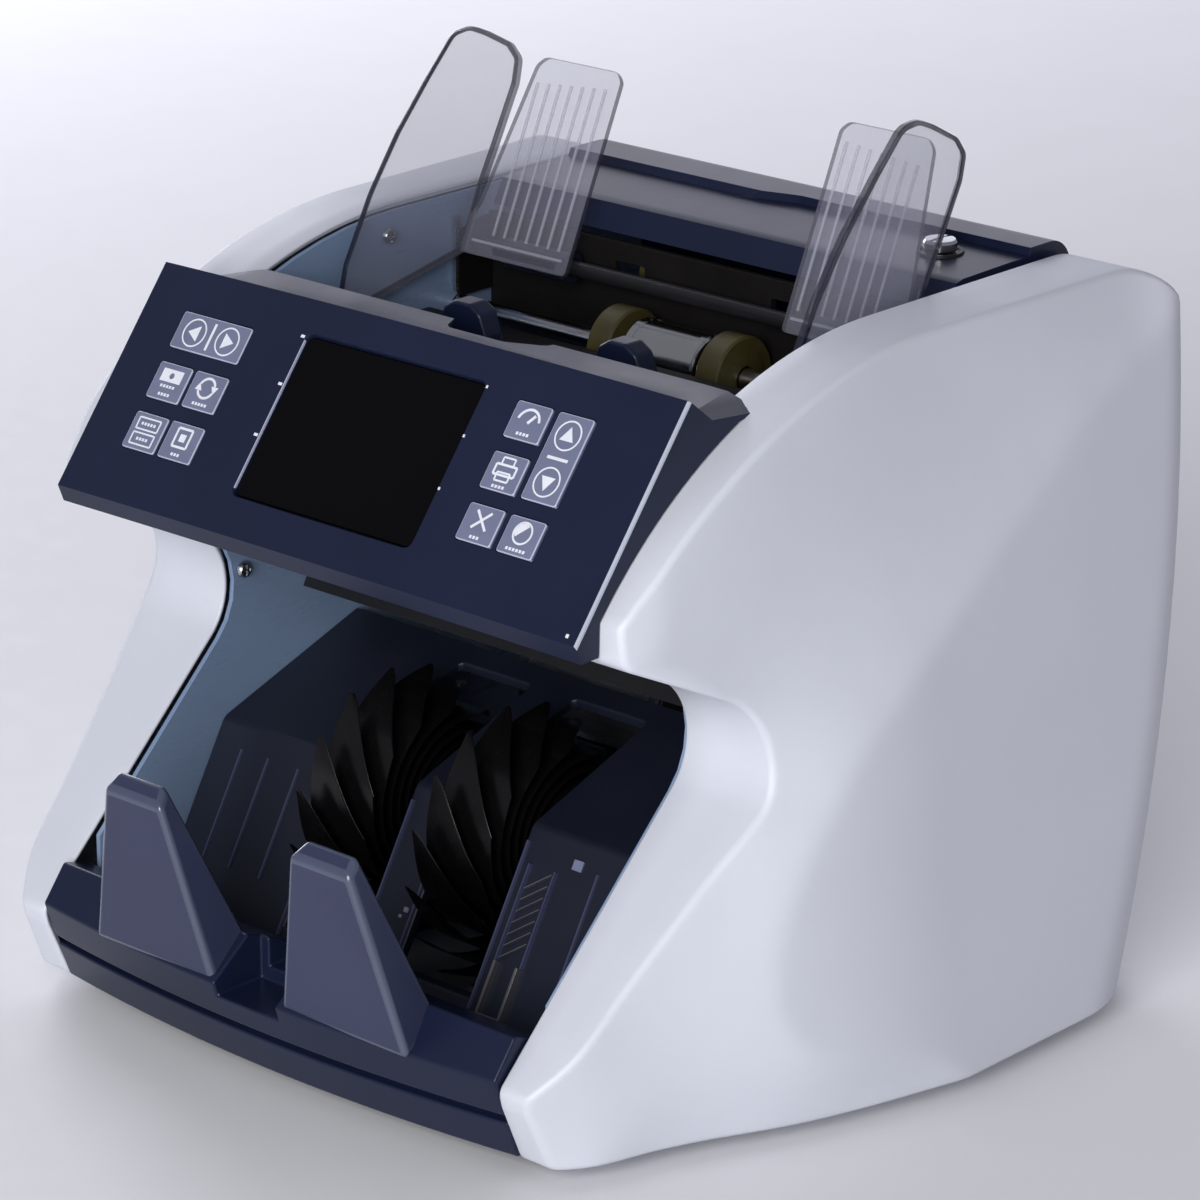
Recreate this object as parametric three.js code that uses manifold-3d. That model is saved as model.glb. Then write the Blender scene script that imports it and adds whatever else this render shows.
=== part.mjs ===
// Banknote counting machine: hopper on top, control panel in front, stacker pocket below it.
// Millimetres, +Z up, +X to the right of a person facing the machine, front towards -Y.
// The drawing frame has its zero height at the underside of the base. The last lines move the
// whole group so that its origin is at the middle of the footprint, on the table.
import * as THREE from 'three';
import Module from 'manifold-3d';
import { mergeVertices } from 'three/addons/utils/BufferGeometryUtils.js';

const wasm = await Module();
wasm.setup();

// ---------- driving dimensions ----------
const GAP = 0.4;                    // clearance between neighbouring pieces
const NOTE_BAY = 187.4;             // width between the inner edges of the two side covers
const BAY = NOTE_BAY / 2;
const SKIN = 2.6;                   // wall of the moulded covers
const FRAME_SHEET = 1.6;            // wall of the pressed side frames
const FRAME_OUT = BAY - GAP;        // outer and inner faces of the side frames
const FRAME_IN = FRAME_OUT - FRAME_SHEET;
const SPAN = FRAME_IN - GAP;        // half length of the pieces that reach from frame to frame
const FOOT_HEIGHT = 6;
const TOP = 213;                    // height of the side covers
const ARC_Y = 25;                   // centre of the big arc over the front
const ARC_Z = 53;
const ARC_R = TOP - ARC_Z;
const BROW_Y = -98.5;               // front face of the covers beside the control panel
const BROW_TOP = 155;
const THROAT_Y = -73;               // centre of the round throat of the stacker opening
const THROAT_Z = 108;
const THROAT_R = 21;
const THROAT_START = 64.5;          // degrees, where the brow's underside meets the throat
const THROAT_END = -45.8;           // degrees, where the throat meets the long slope
const NOSE_Y = -129.2;
const NOSE_Z = 24;
const TOE_Y = -120;                 // front edge of the base at its underside
const BACK_TOP_Y = 138.5;           // rear face at shoulder height
const BACK_TOP_Z = 185;
const BACK_TUCK = 37;               // how far the rear face curves in at the bottom
const BACK_CORNER = 40;             // radius of the upright rear corners, at the bottom
const REAR_R = 28;                  // round shoulder at the top of the rear face
const SIDE_BASE = 153.5;            // half width at the bottom of the rear part of a cover
const SIDE_DRAFT = 0.127;           // how the rear part of a cover leans in, per mm of height
const SIDE_BULGE = 9;               // how much the rear part falls in at y = -62, towards the front
const SIDE_BULGE_Y = 62;
const CREASE_BLEND = 0.6;           // softness of the crease down the side

const PANEL_TOP_Y = -62.5;          // top edge of the control panel's face
const PANEL_TOP_Z = 209.4;
const PANEL_LENGTH = 77.4;          // along the sloping face
const PANEL_TILT = 52.04;           // degrees from horizontal
const PANEL_HALF = 104;
const PANEL_BOW = 2.5;              // the face is slightly fuller in the middle

const WHEEL_Y = -39.5;              // stacker wheel axis
const WHEEL_Z = 48;
const WHEEL_R = 44;
const WHEEL_X = 24;
const WHEEL_WIDTH = 22;
const BLADES = 16;

const SLOT_FROM = 8.5;              // slots in the stacker tray for the wheels
const SLOT_TO = 38.5;
const SLOT_REAR = -6;
// Stacker tray, side view [y, z] of its upper and its lower face, and the places of its ribs.
const TRAY_TOP = [[-107.2, 11.5], [-86, 14.5], [-57.5, 63.5], [-53, 67.7], [2, 86.5]];
const TRAY_UNDER = [[2, 83.3], [-51.6, 65], [-54.8, 61.4], [-84, 11.4], [-107.2, 8.4]];
const TRAY_RIBS = [-80, -68, -55, 55, 68, 80];

const SHAFT_R = 3.5;
const FEED_Y = 50;                  // feed roller axis, below the hopper's back wall
const FEED_Z = 174.5;
const FEED_R = 13;
const FEED_SLEEVE_R = 11;           // bright sleeve between the two feed rollers
const DRIVE_Y = 22;                 // main transport drum axis
const DRIVE_Z = 122;
const DRIVE_R = 26;
const DRIVE_PULLEY_R = 14;
const MOTOR_Y = 86;
const MOTOR_Z = 45;
const MOTOR_R = 19;
const MOTOR_SHAFT_R = 2.5;
const MOTOR_PULLEY_R = 8;
const BELT = 1.6;
const ROD_Y = 57;                   // guide rod behind the hopper
const ROD_Z = 193;
const ROD_R = 2.5;
const WING_FOOT = 192.6;            // foot of the hopper guides' back wings
const WING_X = 86.8;                // inner face of a guide's side wing
const GUIDE_LEAN = 24.5;            // degrees, how the hopper guides lean back
// A hopper guide: its side wing [y, z], and its back wing [x, distance up its own slope].
const SIDE_WING = [[-8, 182], [49, WING_FOOT + 0.7], [58, 214], [63.5, 224], [73, 242], [74.7, 249], [71, 255],
  [60, 261], [52.7, 264], [47, 263.4], [41, 259.5], [33.3, 251.2], [20, 237], [7.7, 219.5], [-3, 200]];
const BACK_WING = [[43.5, 0], [88, 0], [88, 12], [86, 16], [79, 61], [76, 65], [46.5, 65], [43.5, 62]];
const FLOOR_TOP = 177;              // hopper floor
const FLOOR_FRONT = -24;
const FLOOR_REAR = 36;
const POST_X = 31;                  // two round-topped posts on the hopper floor
const POST_Z = 190.6;
const POST_R = 10;
const LID_HINGE_Y = 114;
const LID_HINGE_Z = 206;
const LID_TAIL_R = 10.2;
const LID_TOP = LID_HINGE_Z + LID_TAIL_R;
const LID_DECK = 213.6;             // the lower deck in front of the lid's rear strip
const PIN_R = 2;
const FRAME_INSET = 2.2;            // how far the frames stay inside the covers' outline
const BASE_BOW = 6.6;               // the base's front is fuller in the middle
const BASE_BOW_R = 615;
const BASE_REAR = -108;
const RIM_BACK = [-112, 34.8];      // [y, z] of the base's sloping top, behind and in front
const RIM_PEAK = [-121.2, 37.6];
const RIM_FRONT = [-129.6, 26.8];
const RECESS_HALF = 12.5;           // finger recess in the middle of the base's front
// Foot and head of a stop paddle: [y, z, near x, far x], front face then rear face.
const PADDLE = [[-134.6, 25, 13.6, 64.6], [-142.3, 79.3, 26, 50], [-136.8, 84, 29, 48.7],
  [-118, 30, 14.3, 61]];
const REAR_SHEET = 3;               // wall of the rear panel
const VENTS = 8;                    // cooling slots in the rear panel, and their pitch
const VENT_PITCH = 16;
const PANEL_WALL = 3;               // wall of the control panel's housing
const NOTCH_FROM = -12;             // dip in the housing's top, towards the hopper
const NOTCH_TO = 44;
const SCREEN_HALF = 35.2;
const SCREEN_TOP = -10.9;           // down the panel's face
const SCREEN_BOTTOM = -61.7;
const BOARD_DEPTH = 9;              // panel circuit board, behind the face
const KEY_GAP = 0.35;
const KEY_PROUD = 0.5;
const KEY_DEEP = 3.4;
// Keys on the panel's face: name, centre x, centre y, width, height.
const KEYS = [
  ['key_previous_next', -71.1, -19.2, 28.8, 11.7],
  ['key_batch', -78.8, -35.6, 13.6, 11.7],
  ['key_currency', -63.2, -35.6, 13.6, 11.7],
  ['key_report', -78.8, -52, 13.6, 11.7],
  ['key_mode', -63.2, -52, 13.6, 11.7],
  ['key_speed', 55.9, -18.3, 13.2, 11.3],
  ['key_up_down', 71.1, -26, 13.2, 26.7],
  ['key_print', 55.9, -34, 13.2, 11.3],
  ['key_clear', 55.9, -49.9, 13.2, 11.3],
  ['key_start_stop', 71.1, -49.9, 13.2, 11.3],
];
const INLET_X = 55;
const SWITCH_X = 29.5;
const SWITCH_Y = 113.5;
const SWITCH_Z = 41.5;
const SWITCH_TILT = -7;             // degrees, the rocker rests on its lower half
const KNOB_X = 68;
const KNOB_Y = 90;
const FRAME_SHIFT_Y = 1.9;          // puts the origin at the middle of the footprint

// ---------- colours and finishes ----------
const finish = (color, roughness, metalness = 0, opacity = 1) =>
  new THREE.MeshStandardMaterial({ color, roughness, metalness, opacity, transparent: opacity < 1 });
const WHITE = finish(0xcfd1da, 0.45);
const NAVY = finish(0x1c2238, 0.4);
const SLATE = finish(0x3b405c, 0.5);
const GLOSS_BLACK = finish(0x050507, 0.08);
const BLACK = finish(0x101116, 0.5);
const KEY_GREY = finish(0x6e7187, 0.35);
const STEEL_BLUE = finish(0x7d93a8, 0.35, 0.8);
const STEEL = finish(0xb8bcc2, 0.3, 1);
const CHROME = finish(0xe8eaee, 0.1, 1);
const BRASS = finish(0xc9a544, 0.3, 1);
const RUBBER = finish(0x17181b, 0.85);
const OLIVE = finish(0x6f6420, 0.6);
const SMOKE = finish(0x8f90a6, 0.1, 0, 0.4);
const GREEN_BOARD = finish(0x1f5b3a, 0.5);

// ---------- solid modelling helpers ----------
function toSolid(geometry) {
  const bare = geometry.clone();
  for (const name of Object.keys(bare.attributes)) {
    if (name !== 'position') bare.deleteAttribute(name);
  }
  const merged = mergeVertices(bare, 1e-4);
  return new wasm.Manifold(new wasm.Mesh({
    numProp: 3,
    vertProperties: new Float32Array(merged.attributes.position.array),
    triVerts: new Uint32Array(merged.index.array),
  }));
}

function toGeometry(solid) {
  const mesh = solid.getMesh();
  const geometry = new THREE.BufferGeometry();
  geometry.setAttribute('position', new THREE.BufferAttribute(mesh.vertProperties, 3));
  geometry.setIndex(new THREE.BufferAttribute(mesh.triVerts, 1));
  geometry.computeVertexNormals();
  return geometry;
}

const join = (first, ...rest) => rest.reduce((sum, next) => sum.add(next), first);
const cut = (first, ...rest) => rest.reduce((left, next) => left.subtract(next), first);

function outline(points) {
  return new THREE.Shape(points.map(([a, b]) => new THREE.Vector2(a, b)));
}

// A side view [y, z] swept along X.
function sideSweep(points, x0, x1) {
  const geometry = new THREE.ExtrudeGeometry(outline(points), { depth: x1 - x0, bevelEnabled: false });
  const axes = new THREE.Matrix4().makeBasis(
    new THREE.Vector3(0, 1, 0), new THREE.Vector3(0, 0, 1), new THREE.Vector3(1, 0, 0));
  geometry.applyMatrix4(axes.setPosition(x0, 0, 0));
  return toSolid(geometry);
}

// A plan or face view [x, y] swept along Z.
function planSweep(points, z0, z1) {
  const geometry = new THREE.ExtrudeGeometry(outline(points), { depth: z1 - z0, bevelEnabled: false });
  return toSolid(geometry.translate(0, 0, z0));
}

function box(x0, x1, y0, y1, z0, z1) {
  const geometry = new THREE.BoxGeometry(x1 - x0, y1 - y0, z1 - z0);
  return toSolid(geometry.translate((x0 + x1) / 2, (y0 + y1) / 2, (z0 + z1) / 2));
}

// A round bar along X, about the axis at (y, z).
function bar(radius, x0, x1, y, z, sides = 20) {
  const geometry = new THREE.CylinderGeometry(radius, radius, x1 - x0, sides).rotateZ(Math.PI / 2);
  return toSolid(geometry.translate((x0 + x1) / 2, y, z));
}

// A round post along Z.
function post(radius, x, y, z0, z1, sides = 20) {
  const geometry = new THREE.CylinderGeometry(radius, radius, z1 - z0, sides).rotateX(Math.PI / 2);
  return toSolid(geometry.translate(x, y, (z0 + z1) / 2));
}

// A flat rounded rectangle in the XY plane.
function roundedRectangle(x0, x1, y0, y1, radius, z0, z1, steps = 3) {
  const points = [];
  const corners = [[x1 - radius, y1 - radius, 0], [x0 + radius, y1 - radius, 90],
    [x0 + radius, y0 + radius, 180], [x1 - radius, y0 + radius, 270]];
  for (const [x, y, start] of corners) points.push(...arc(x, y, radius, start, start + 90, steps));
  return planSweep(points, z0, z1);
}

function arc(cx, cy, radius, from, to, steps) {
  return Array.from({ length: steps + 1 }, (_, i) => {
    const angle = THREE.MathUtils.degToRad(from + (to - from) * i / steps);
    return [cx + radius * Math.cos(angle), cy + radius * Math.sin(angle)];
  });
}

const mirrored = (solid) => solid.mirror([1, 0, 0]);

// ---------- side covers ----------
// Half widths of the cover at places on its side: [y, z, half width]. The first rows follow the
// ridge over the top and round the stacker opening, then the lower edge, then the crease, and the
// last rows carry the flare on behind the crease, where the rear part of the side takes over.
const FLARE = [
  [118, 210, 121], [55, 212, 118], [-15, 207, 117.5], [-58, 189, 117], [-85, 169, 115], [-98, 150, 114.5],
  [-70, 130, 119], [-52, 105, 126], [-74, 81, 121], [-92, 65, 116.5], [-107, 51, 113.5], [-121, 37, 111],
  [-130, 25, 104], [-121, 0, 105], [-112, 0, 112], [-94, 0, 118], [-75, 0, 125.5], [-37, 0, 142],
  [-1, 0, 152],
  [124, 198, 128.3], [102, 187.3, 129.7], [80, 176.5, 131.1], [49, 157, 133.5], [29, 144, 135.2],
  [10, 131, 136.9], [-13, 116, 138.4], [-34, 99.6, 138.1], [-48, 83, 137.5], [-58.5, 65.5, 137.1],
  [-63, 51, 137.7], [-62, 37, 139.9], [-54, 23, 143],
  [112, 176, 134.5], [90, 165.5, 136], [59, 146, 139], [21, 121, 143.5], [-1, 107, 145.5],
  [-21, 92.5, 146], [-34, 78, 146], [-43.5, 62.5, 146.5], [-48, 50, 147],
  [60, 100, 165], [20, 50, 160], [60, 0, 175], [120, 100, 190], [120, 0, 210],
];

// Thin-plate surface through the places above.
function thinPlate(places) {
  const kernel = (a, b) => {
    const r2 = (a[0] - b[0]) ** 2 + (a[1] - b[1]) ** 2;
    return r2 > 0 ? r2 * Math.log(r2) / 2 : 0;
  };
  const size = places.length + 3;
  const rows = Array.from({ length: size }, () => new Array(size + 1).fill(0));
  places.forEach((place, i) => {
    places.forEach((other, j) => {
      rows[i][j] = kernel(place, other);
    });
    [1, place[0], place[1]].forEach((value, k) => {
      rows[i][places.length + k] = value;
      rows[places.length + k][i] = value;
    });
    rows[i][size] = place[2];
  });
  for (let col = 0; col < size; col++) {
    let pivot = col;
    for (let row = col + 1; row < size; row++) {
      if (Math.abs(rows[row][col]) > Math.abs(rows[pivot][col])) pivot = row;
    }
    [rows[col], rows[pivot]] = [rows[pivot], rows[col]];
    for (let row = 0; row < size; row++) {
      if (row === col) continue;
      const factor = rows[row][col] / rows[col][col];
      for (let k = col; k <= size; k++) rows[row][k] -= factor * rows[col][k];
    }
  }
  const weights = rows.map((row, i) => row[size] / row[i]);
  return (y, z) => {
    let sum = weights[size - 3] + weights[size - 2] * y + weights[size - 1] * z;
    places.forEach((place, i) => {
      sum += weights[i] * kernel(place, [y, z]);
    });
    return sum;
  };
}

const flareWidth = thinPlate(FLARE);

// Rear face of the machine at height z.
function backFace(z) {
  const below = Math.max(0, BACK_TOP_Z - z) / BACK_TOP_Z;
  return BACK_TOP_Y - BACK_TUCK * below * below;
}

// Half width of a side cover at (y, z).
function coverHalfWidth(y, z) {
  const rear = SIDE_BASE - SIDE_DRAFT * z - SIDE_BULGE * (Math.min(0, y) / SIDE_BULGE_Y) ** 2;
  const front = flareWidth(y, z);
  const soft = -CREASE_BLEND * Math.log(Math.exp(-front / CREASE_BLEND) + Math.exp(-rear / CREASE_BLEND));
  const cornerRadius = BACK_CORNER - SIDE_DRAFT * z;
  const past = Math.min(cornerRadius, Math.max(0, y - (backFace(z) - cornerRadius)));
  return soft - (cornerRadius - Math.sqrt(cornerRadius ** 2 - past ** 2));
}

// Side view of a cover, drawn inwards by t.
function coverOutline(t = 0) {
  const throatRadius = THROAT_R + t;
  const lip = THREE.MathUtils.degToRad(THROAT_START);
  const lipHeight = (y) =>
    THROAT_Z + (throatRadius - (y - THROAT_Y) * Math.cos(lip)) / Math.sin(lip);
  const slope = THREE.MathUtils.degToRad(THROAT_END);
  const slopeHeight = (y) =>
    THROAT_Z + (throatRadius - (y - THROAT_Y) * Math.cos(slope)) / Math.sin(slope);
  const lean = (TOE_Y - NOSE_Y) / NOSE_Z;
  const noseLine = (z) => TOE_Y - lean * z + t * 1.1;
  const noseZ = NOSE_Z - t * 0.9;
  const points = [];
  const backSteps = 7;
  for (let i = 0; i <= backSteps; i++) {
    const z = t + (BACK_TOP_Z - t) * i / backSteps;
    points.push([backFace(z) - t, z]);
  }
  points.push(...arc(BACK_TOP_Y - REAR_R, TOP - REAR_R, REAR_R - t, 0, 90, 6).slice(1));
  const browAngle = 180 - THREE.MathUtils.radToDeg(Math.asin((BROW_TOP - ARC_Z) / ARC_R));
  points.push(...arc(ARC_Y, ARC_Z, ARC_R - t, 90, browAngle, 12));
  points.push([BROW_Y + t, BROW_TOP - 3 - t]);
  points.push([BROW_Y + t, lipHeight(BROW_Y + t)]);
  points.push(...arc(THROAT_Y, THROAT_Z, throatRadius, THROAT_START, THROAT_END, 7));
  points.push([noseLine(noseZ) + 3, slopeHeight(noseLine(noseZ) + 3)]);
  points.push([noseLine(noseZ - 3), noseZ - 3]);
  points.push([noseLine(t), t]);
  return points;
}

// Solid between the middle of the machine and the side surface, drawn inwards by t. The grid is even
// over the front, and follows the rear face round the rear corner.
function flareSolid(t) {
  const frontYs = [-140, -128, -116, -104, -92, -80, -68, -56, -44, -30, -15, 0, 18, 36, 50];
  const rearSteps = [40, 31, 23, 16, 10.5, 6, 3, 1, 0, -5];
  const zs = [-6, 8, 22, 36, 52, 68, 84, 100, 116, 132, 148, 164, 180, 196, 218];
  const inner = BAY - 30;
  const rows = frontYs.length + rearSteps.length;
  const cols = zs.length;
  const gridY = (i, z) => (i < frontYs.length ? frontYs[i] : backFace(z) - rearSteps[i - frontYs.length]);
  const positions = [];
  for (let i = 0; i < rows; i++) {
    for (const z of zs) {
      const y = gridY(i, z);
      positions.push(Math.max(inner + 1, coverHalfWidth(y, z) - t), y, z);
    }
  }
  for (let i = 0; i < rows; i++) {
    for (const z of zs) positions.push(inner, gridY(i, z), z);
  }
  const far = rows * cols;
  const faces = [];
  const quad = (a, b, c, d) => faces.push(a, b, c, a, c, d);
  for (let i = 0; i < rows - 1; i++) {
    for (let j = 0; j < cols - 1; j++) {
      const a = i * cols + j;
      quad(a, a + cols, a + cols + 1, a + 1);
      quad(far + a, far + a + 1, far + a + cols + 1, far + a + cols);
    }
  }
  const rim = [];
  for (let i = 0; i < rows - 1; i++) rim.push(i * cols);
  for (let j = 0; j < cols - 1; j++) rim.push((rows - 1) * cols + j);
  for (let i = rows - 1; i > 0; i--) rim.push(i * cols + cols - 1);
  for (let j = cols - 1; j > 0; j--) rim.push(j);
  rim.forEach((a, k) => {
    const b = rim[(k + 1) % rim.length];
    quad(a, far + a, far + b, b);
  });
  const geometry = new THREE.BufferGeometry();
  geometry.setAttribute('position', new THREE.Float32BufferAttribute(positions, 3));
  geometry.setIndex(faces);
  return toSolid(geometry);
}

function sideCover() {
  const beyond = SIDE_BASE + 20;
  const outer = sideSweep(coverOutline(0), BAY, beyond).intersect(flareSolid(0));
  const hollow = sideSweep(coverOutline(SKIN), BAY - 20, beyond).intersect(flareSolid(SKIN));
  return outer.subtract(hollow);
}

// ---------- frames and base ----------
function sideFrame() {
  const plate = sideSweep(coverOutline(FRAME_INSET), FRAME_IN, FRAME_OUT);
  const holes = [[SHAFT_R, WHEEL_Y, WHEEL_Z], [SHAFT_R, FEED_Y, FEED_Z], [SHAFT_R, DRIVE_Y, DRIVE_Z],
    [MOTOR_SHAFT_R, MOTOR_Y, MOTOR_Z], [PIN_R, LID_HINGE_Y, LID_HINGE_Z]];
  const bores = holes.map(([radius, y, z]) => bar(radius + GAP, FRAME_IN - 5, FRAME_OUT + 5, y, z, 16));
  const clearOfBase = box(FRAME_IN - 5, FRAME_OUT + 5, -140, BASE_REAR + GAP, -5, 60);
  return cut(plate, ...bores, clearOfBase);
}

function baseFront() {
  const beam = sideSweep([[TOE_Y, 0.6], [BASE_REAR, 0.6], [BASE_REAR, 32], RIM_BACK, RIM_PEAK, RIM_FRONT,
    [-126, 15], [-123.6, 14.2], [-123.2, 12.8], [-124.8, 12]], -FRAME_OUT, FRAME_OUT);
  const half = THREE.MathUtils.radToDeg(Math.asin(FRAME_OUT / BASE_BOW_R));
  const bowFront = (y, z0, z1) => {
    const front = arc(0, y - BASE_BOW + BASE_BOW_R, BASE_BOW_R, 270 - half, 270 + half, 12);
    return planSweep([...front, [FRAME_OUT, -112], [-FRAME_OUT, -112]], z0, z1);
  };
  const recess = box(-RECESS_HALF, RECESS_HALF, -128, -100, 21, 60);
  return cut(join(beam, bowFront(-128.6, 16, 26.8), bowFront(-122.4, 0.6, 12)), recess);
}

// Right-hand stop paddle: a leaning slab, wide at the foot and narrow at the top.
function stopPaddle(base) {
  const points = [];
  for (const [y, z, x0, x1] of PADDLE) {
    points.push(new THREE.Vector3(x0, y, z), new THREE.Vector3(x1, y, z));
  }
  const ends = [0, 2, 4, 0, 4, 6, 1, 5, 3, 1, 7, 5];
  const index = [...ends];
  for (let i = 0; i < 4; i++) {
    const a = 2 * i;
    const b = (a + 2) % 8;
    index.push(a, a + 1, b + 1, a, b + 1, b);
  }
  const geometry = new THREE.BufferGeometry().setFromPoints(points);
  geometry.setIndex(index);
  const slab = toSolid(geometry);
  const behindRim = box(-20, 90, RIM_PEAK[0] - 1, -100, 0, RIM_PEAK[1]);
  return cut(slab, base.translate([0, -0.2, GAP]), behindRim);
}

function foot(x, y) {
  const profile = [[0, -FOOT_HEIGHT], [7, -FOOT_HEIGHT], [8.2, 1.2 - FOOT_HEIGHT], [9, -0.8], [0, -0.8]];
  const geometry = new THREE.LatheGeometry(profile.map(([r, h]) => new THREE.Vector2(r, h)), 20);
  return toSolid(geometry.rotateX(Math.PI / 2).translate(x, y, 0));
}

function basePlate() {
  const plate = box(4 - BAY, BAY - 4, -107, 98, -0.4, 1.2);
  const vents = [];
  for (let i = 0; i < 6; i++) vents.push(box(-50 + i * 18, -42 + i * 18, 20, 60, -3, 3));
  return cut(plate, ...vents);
}

function rearPanel() {
  const cy = BACK_TOP_Y - REAR_R;
  const cz = TOP - REAR_R;
  // side view of one face of the sheet, from the bottom to the shoulder below the lid
  const face = (inset) => {
    const points = [];
    for (let i = 0; i <= 7; i++) {
      const z = 1 + (BACK_TOP_Z - 1) * i / 7;
      points.push([backFace(z) - inset, z]);
    }
    return [...points, ...arc(cy, cz, REAR_R - inset, 0, 51, 5).slice(1)];
  };
  const sheet = sideSweep([...face(0.8), ...face(0.8 + REAR_SHEET).reverse()], -SPAN, SPAN);
  const slots = [];
  for (let i = 0; i < VENTS; i++) {
    const x = (i - (VENTS - 1) / 2) * VENT_PITCH;
    slots.push(box(x - VENT_PITCH / 4, x + VENT_PITCH / 4, 90, 150, 128, 158));
  }
  const inletHole = box(INLET_X - 14.4, INLET_X + 14.4, 90, 150, 30.6, 52.4);
  const switchHole = box(SWITCH_X - 6.9, SWITCH_X + 6.9, 90, 150, SWITCH_Z - 10, SWITCH_Z + 10);
  return cut(sheet, ...slots, inletHole, switchHole);
}

function powerInlet() {
  const body = box(INLET_X - 14, INLET_X + 14, 96, 117, 31, 52);
  const well = box(INLET_X - 11, INLET_X + 11, 101, 120, 34.5, 48.5);
  const pins = [[-7, 39], [0, 43], [7, 39]].map(([x, z]) =>
    box(INLET_X + x - 1, INLET_X + x + 1, 99, 114, z, z + 4));
  return join(cut(body, well), ...pins);
}

function powerSwitch() {
  const section = [[-8, -8], [1.5, -9.2], [0.2, 0], [1.5, 9.2], [-8, 8]];
  const rocker = sideSweep(section, SWITCH_X - 6.5, SWITCH_X + 6.5);
  return rocker.rotate([SWITCH_TILT, 0, 0]).translate([0, SWITCH_Y, SWITCH_Z]);
}

// ---------- control panel, drawn in its own sloping frame: y up the face, z out of it ----------
const tilt = THREE.MathUtils.degToRad(PANEL_TILT);

// A side view point of the drawing frame, seen in the panel's frame.
function onPanel([y, z]) {
  const dy = y - PANEL_TOP_Y;
  const dz = z - PANEL_TOP_Z;
  return [dy * Math.cos(tilt) + dz * Math.sin(tilt), -dy * Math.sin(tilt) + dz * Math.cos(tilt)];
}

// A shape seen along the panel's face, [x, z], swept from y1 down to y0.
function faceSweep(points, y0, y1) {
  const geometry = new THREE.ExtrudeGeometry(outline(points), { depth: y1 - y0, bevelEnabled: false });
  const axes = new THREE.Matrix4().makeBasis(
    new THREE.Vector3(1, 0, 0), new THREE.Vector3(0, 0, 1), new THREE.Vector3(0, -1, 0));
  geometry.applyMatrix4(axes.setPosition(0, y1, 0));
  return toSolid(geometry);
}

function panelHousing() {
  const clear = ARC_R + GAP;
  const rearArc = arc(ARC_Y, ARC_Z, clear, 140.4, 110.5, 9).map(onPanel);
  const brow = onPanel([BROW_Y - GAP, 145.2]);
  const side = [[0, 0], [-PANEL_LENGTH, 0], brow, ...rearArc].reverse();
  const wedge = sideSweep(side, -PANEL_HALF, PANEL_HALF);
  const bowRadius = (PANEL_HALF ** 2 + PANEL_BOW ** 2) / (2 * PANEL_BOW);
  const half = THREE.MathUtils.radToDeg(Math.asin(PANEL_HALF / bowRadius));
  const bow = faceSweep([...arc(0, PANEL_BOW - bowRadius, bowRadius, 90 - half, 90 + half, 12),
    [-PANEL_HALF, -2], [PANEL_HALF, -2]], -PANEL_LENGTH, 0);
  const hollowArc = arc(ARC_Y, ARC_Z, clear - PANEL_WALL, 140.4, 113.5, 9).map(onPanel);
  const hollow = sideSweep([[-4, -PANEL_WALL], [4 - PANEL_LENGTH, -PANEL_WALL], ...hollowArc].reverse(),
    PANEL_WALL - PANEL_HALF, PANEL_HALF - PANEL_WALL);
  const posts = [];
  for (const x of [-44, 44]) {
    for (const y of [-8, -66]) posts.push(post(3, x, y, GAP - BOARD_DEPTH, -2));
  }
  const holes = KEYS.map(([, x, y, w, h]) => keyBlock(x, y, w, h, KEY_GAP, -10, 10));
  const notchSide = [[-34, 202], [-60, 220], [-20, 220], [-20, 202]].map(onPanel);
  const notch = sideSweep(notchSide, NOTCH_FROM, NOTCH_TO);
  const window = roundedRectangle(-SCREEN_HALF - GAP, SCREEN_HALF + GAP, SCREEN_BOTTOM - GAP, SCREEN_TOP + GAP,
    3, -10, 10);
  return cut(join(cut(wedge.add(bow), hollow), ...posts), ...holes, window, notch);
}

function keyBlock(x, y, w, h, grow, z0, z1) {
  return roundedRectangle(x - w / 2 - grow, x + w / 2 + grow, y - h / 2 - grow, y + h / 2 + grow,
    1 + grow, z0, z1, 2);
}

// ---------- hopper ----------
// Floor with a lip down its front edge and two round-topped posts that keep the notes upright.
function hopperFloor() {
  const lip = 2;
  const sheet = 2.2;
  const section = [[FLOOR_FRONT, FLOOR_TOP - 14], [FLOOR_FRONT + lip, FLOOR_TOP - 14],
    [FLOOR_FRONT + lip, FLOOR_TOP - sheet], [FLOOR_REAR, FLOOR_TOP - sheet], [FLOOR_REAR, FLOOR_TOP],
    [FLOOR_FRONT, FLOOR_TOP]];
  const posts = [-POST_X, POST_X].map((x) => {
    const foot = FLOOR_TOP - 1;
    const round = outline([[x + POST_R, foot], ...arc(x, POST_Z, POST_R, 0, 180, 10), [x - POST_R, foot]]);
    const slab = new THREE.ExtrudeGeometry(round, { depth: 8, bevelEnabled: false });
    return toSolid(slab.rotateX(Math.PI / 2).translate(0, -4, 0));
  });
  return join(sideSweep(section, -SPAN, SPAN), ...posts);
}

function hopperBackWall() {
  const section = [[63.8, 160], [65.4, 160], [65.4, 202.6], [63, 202.6], [63, 189], [63.8, 189]];
  const wall = sideSweep(section, -SPAN, SPAN);
  const windows = [-POST_X, POST_X].map((x) => box(x - 6, x + 6, 50, 80, 190, 196.5));
  return cut(wall, ...windows);
}

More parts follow.
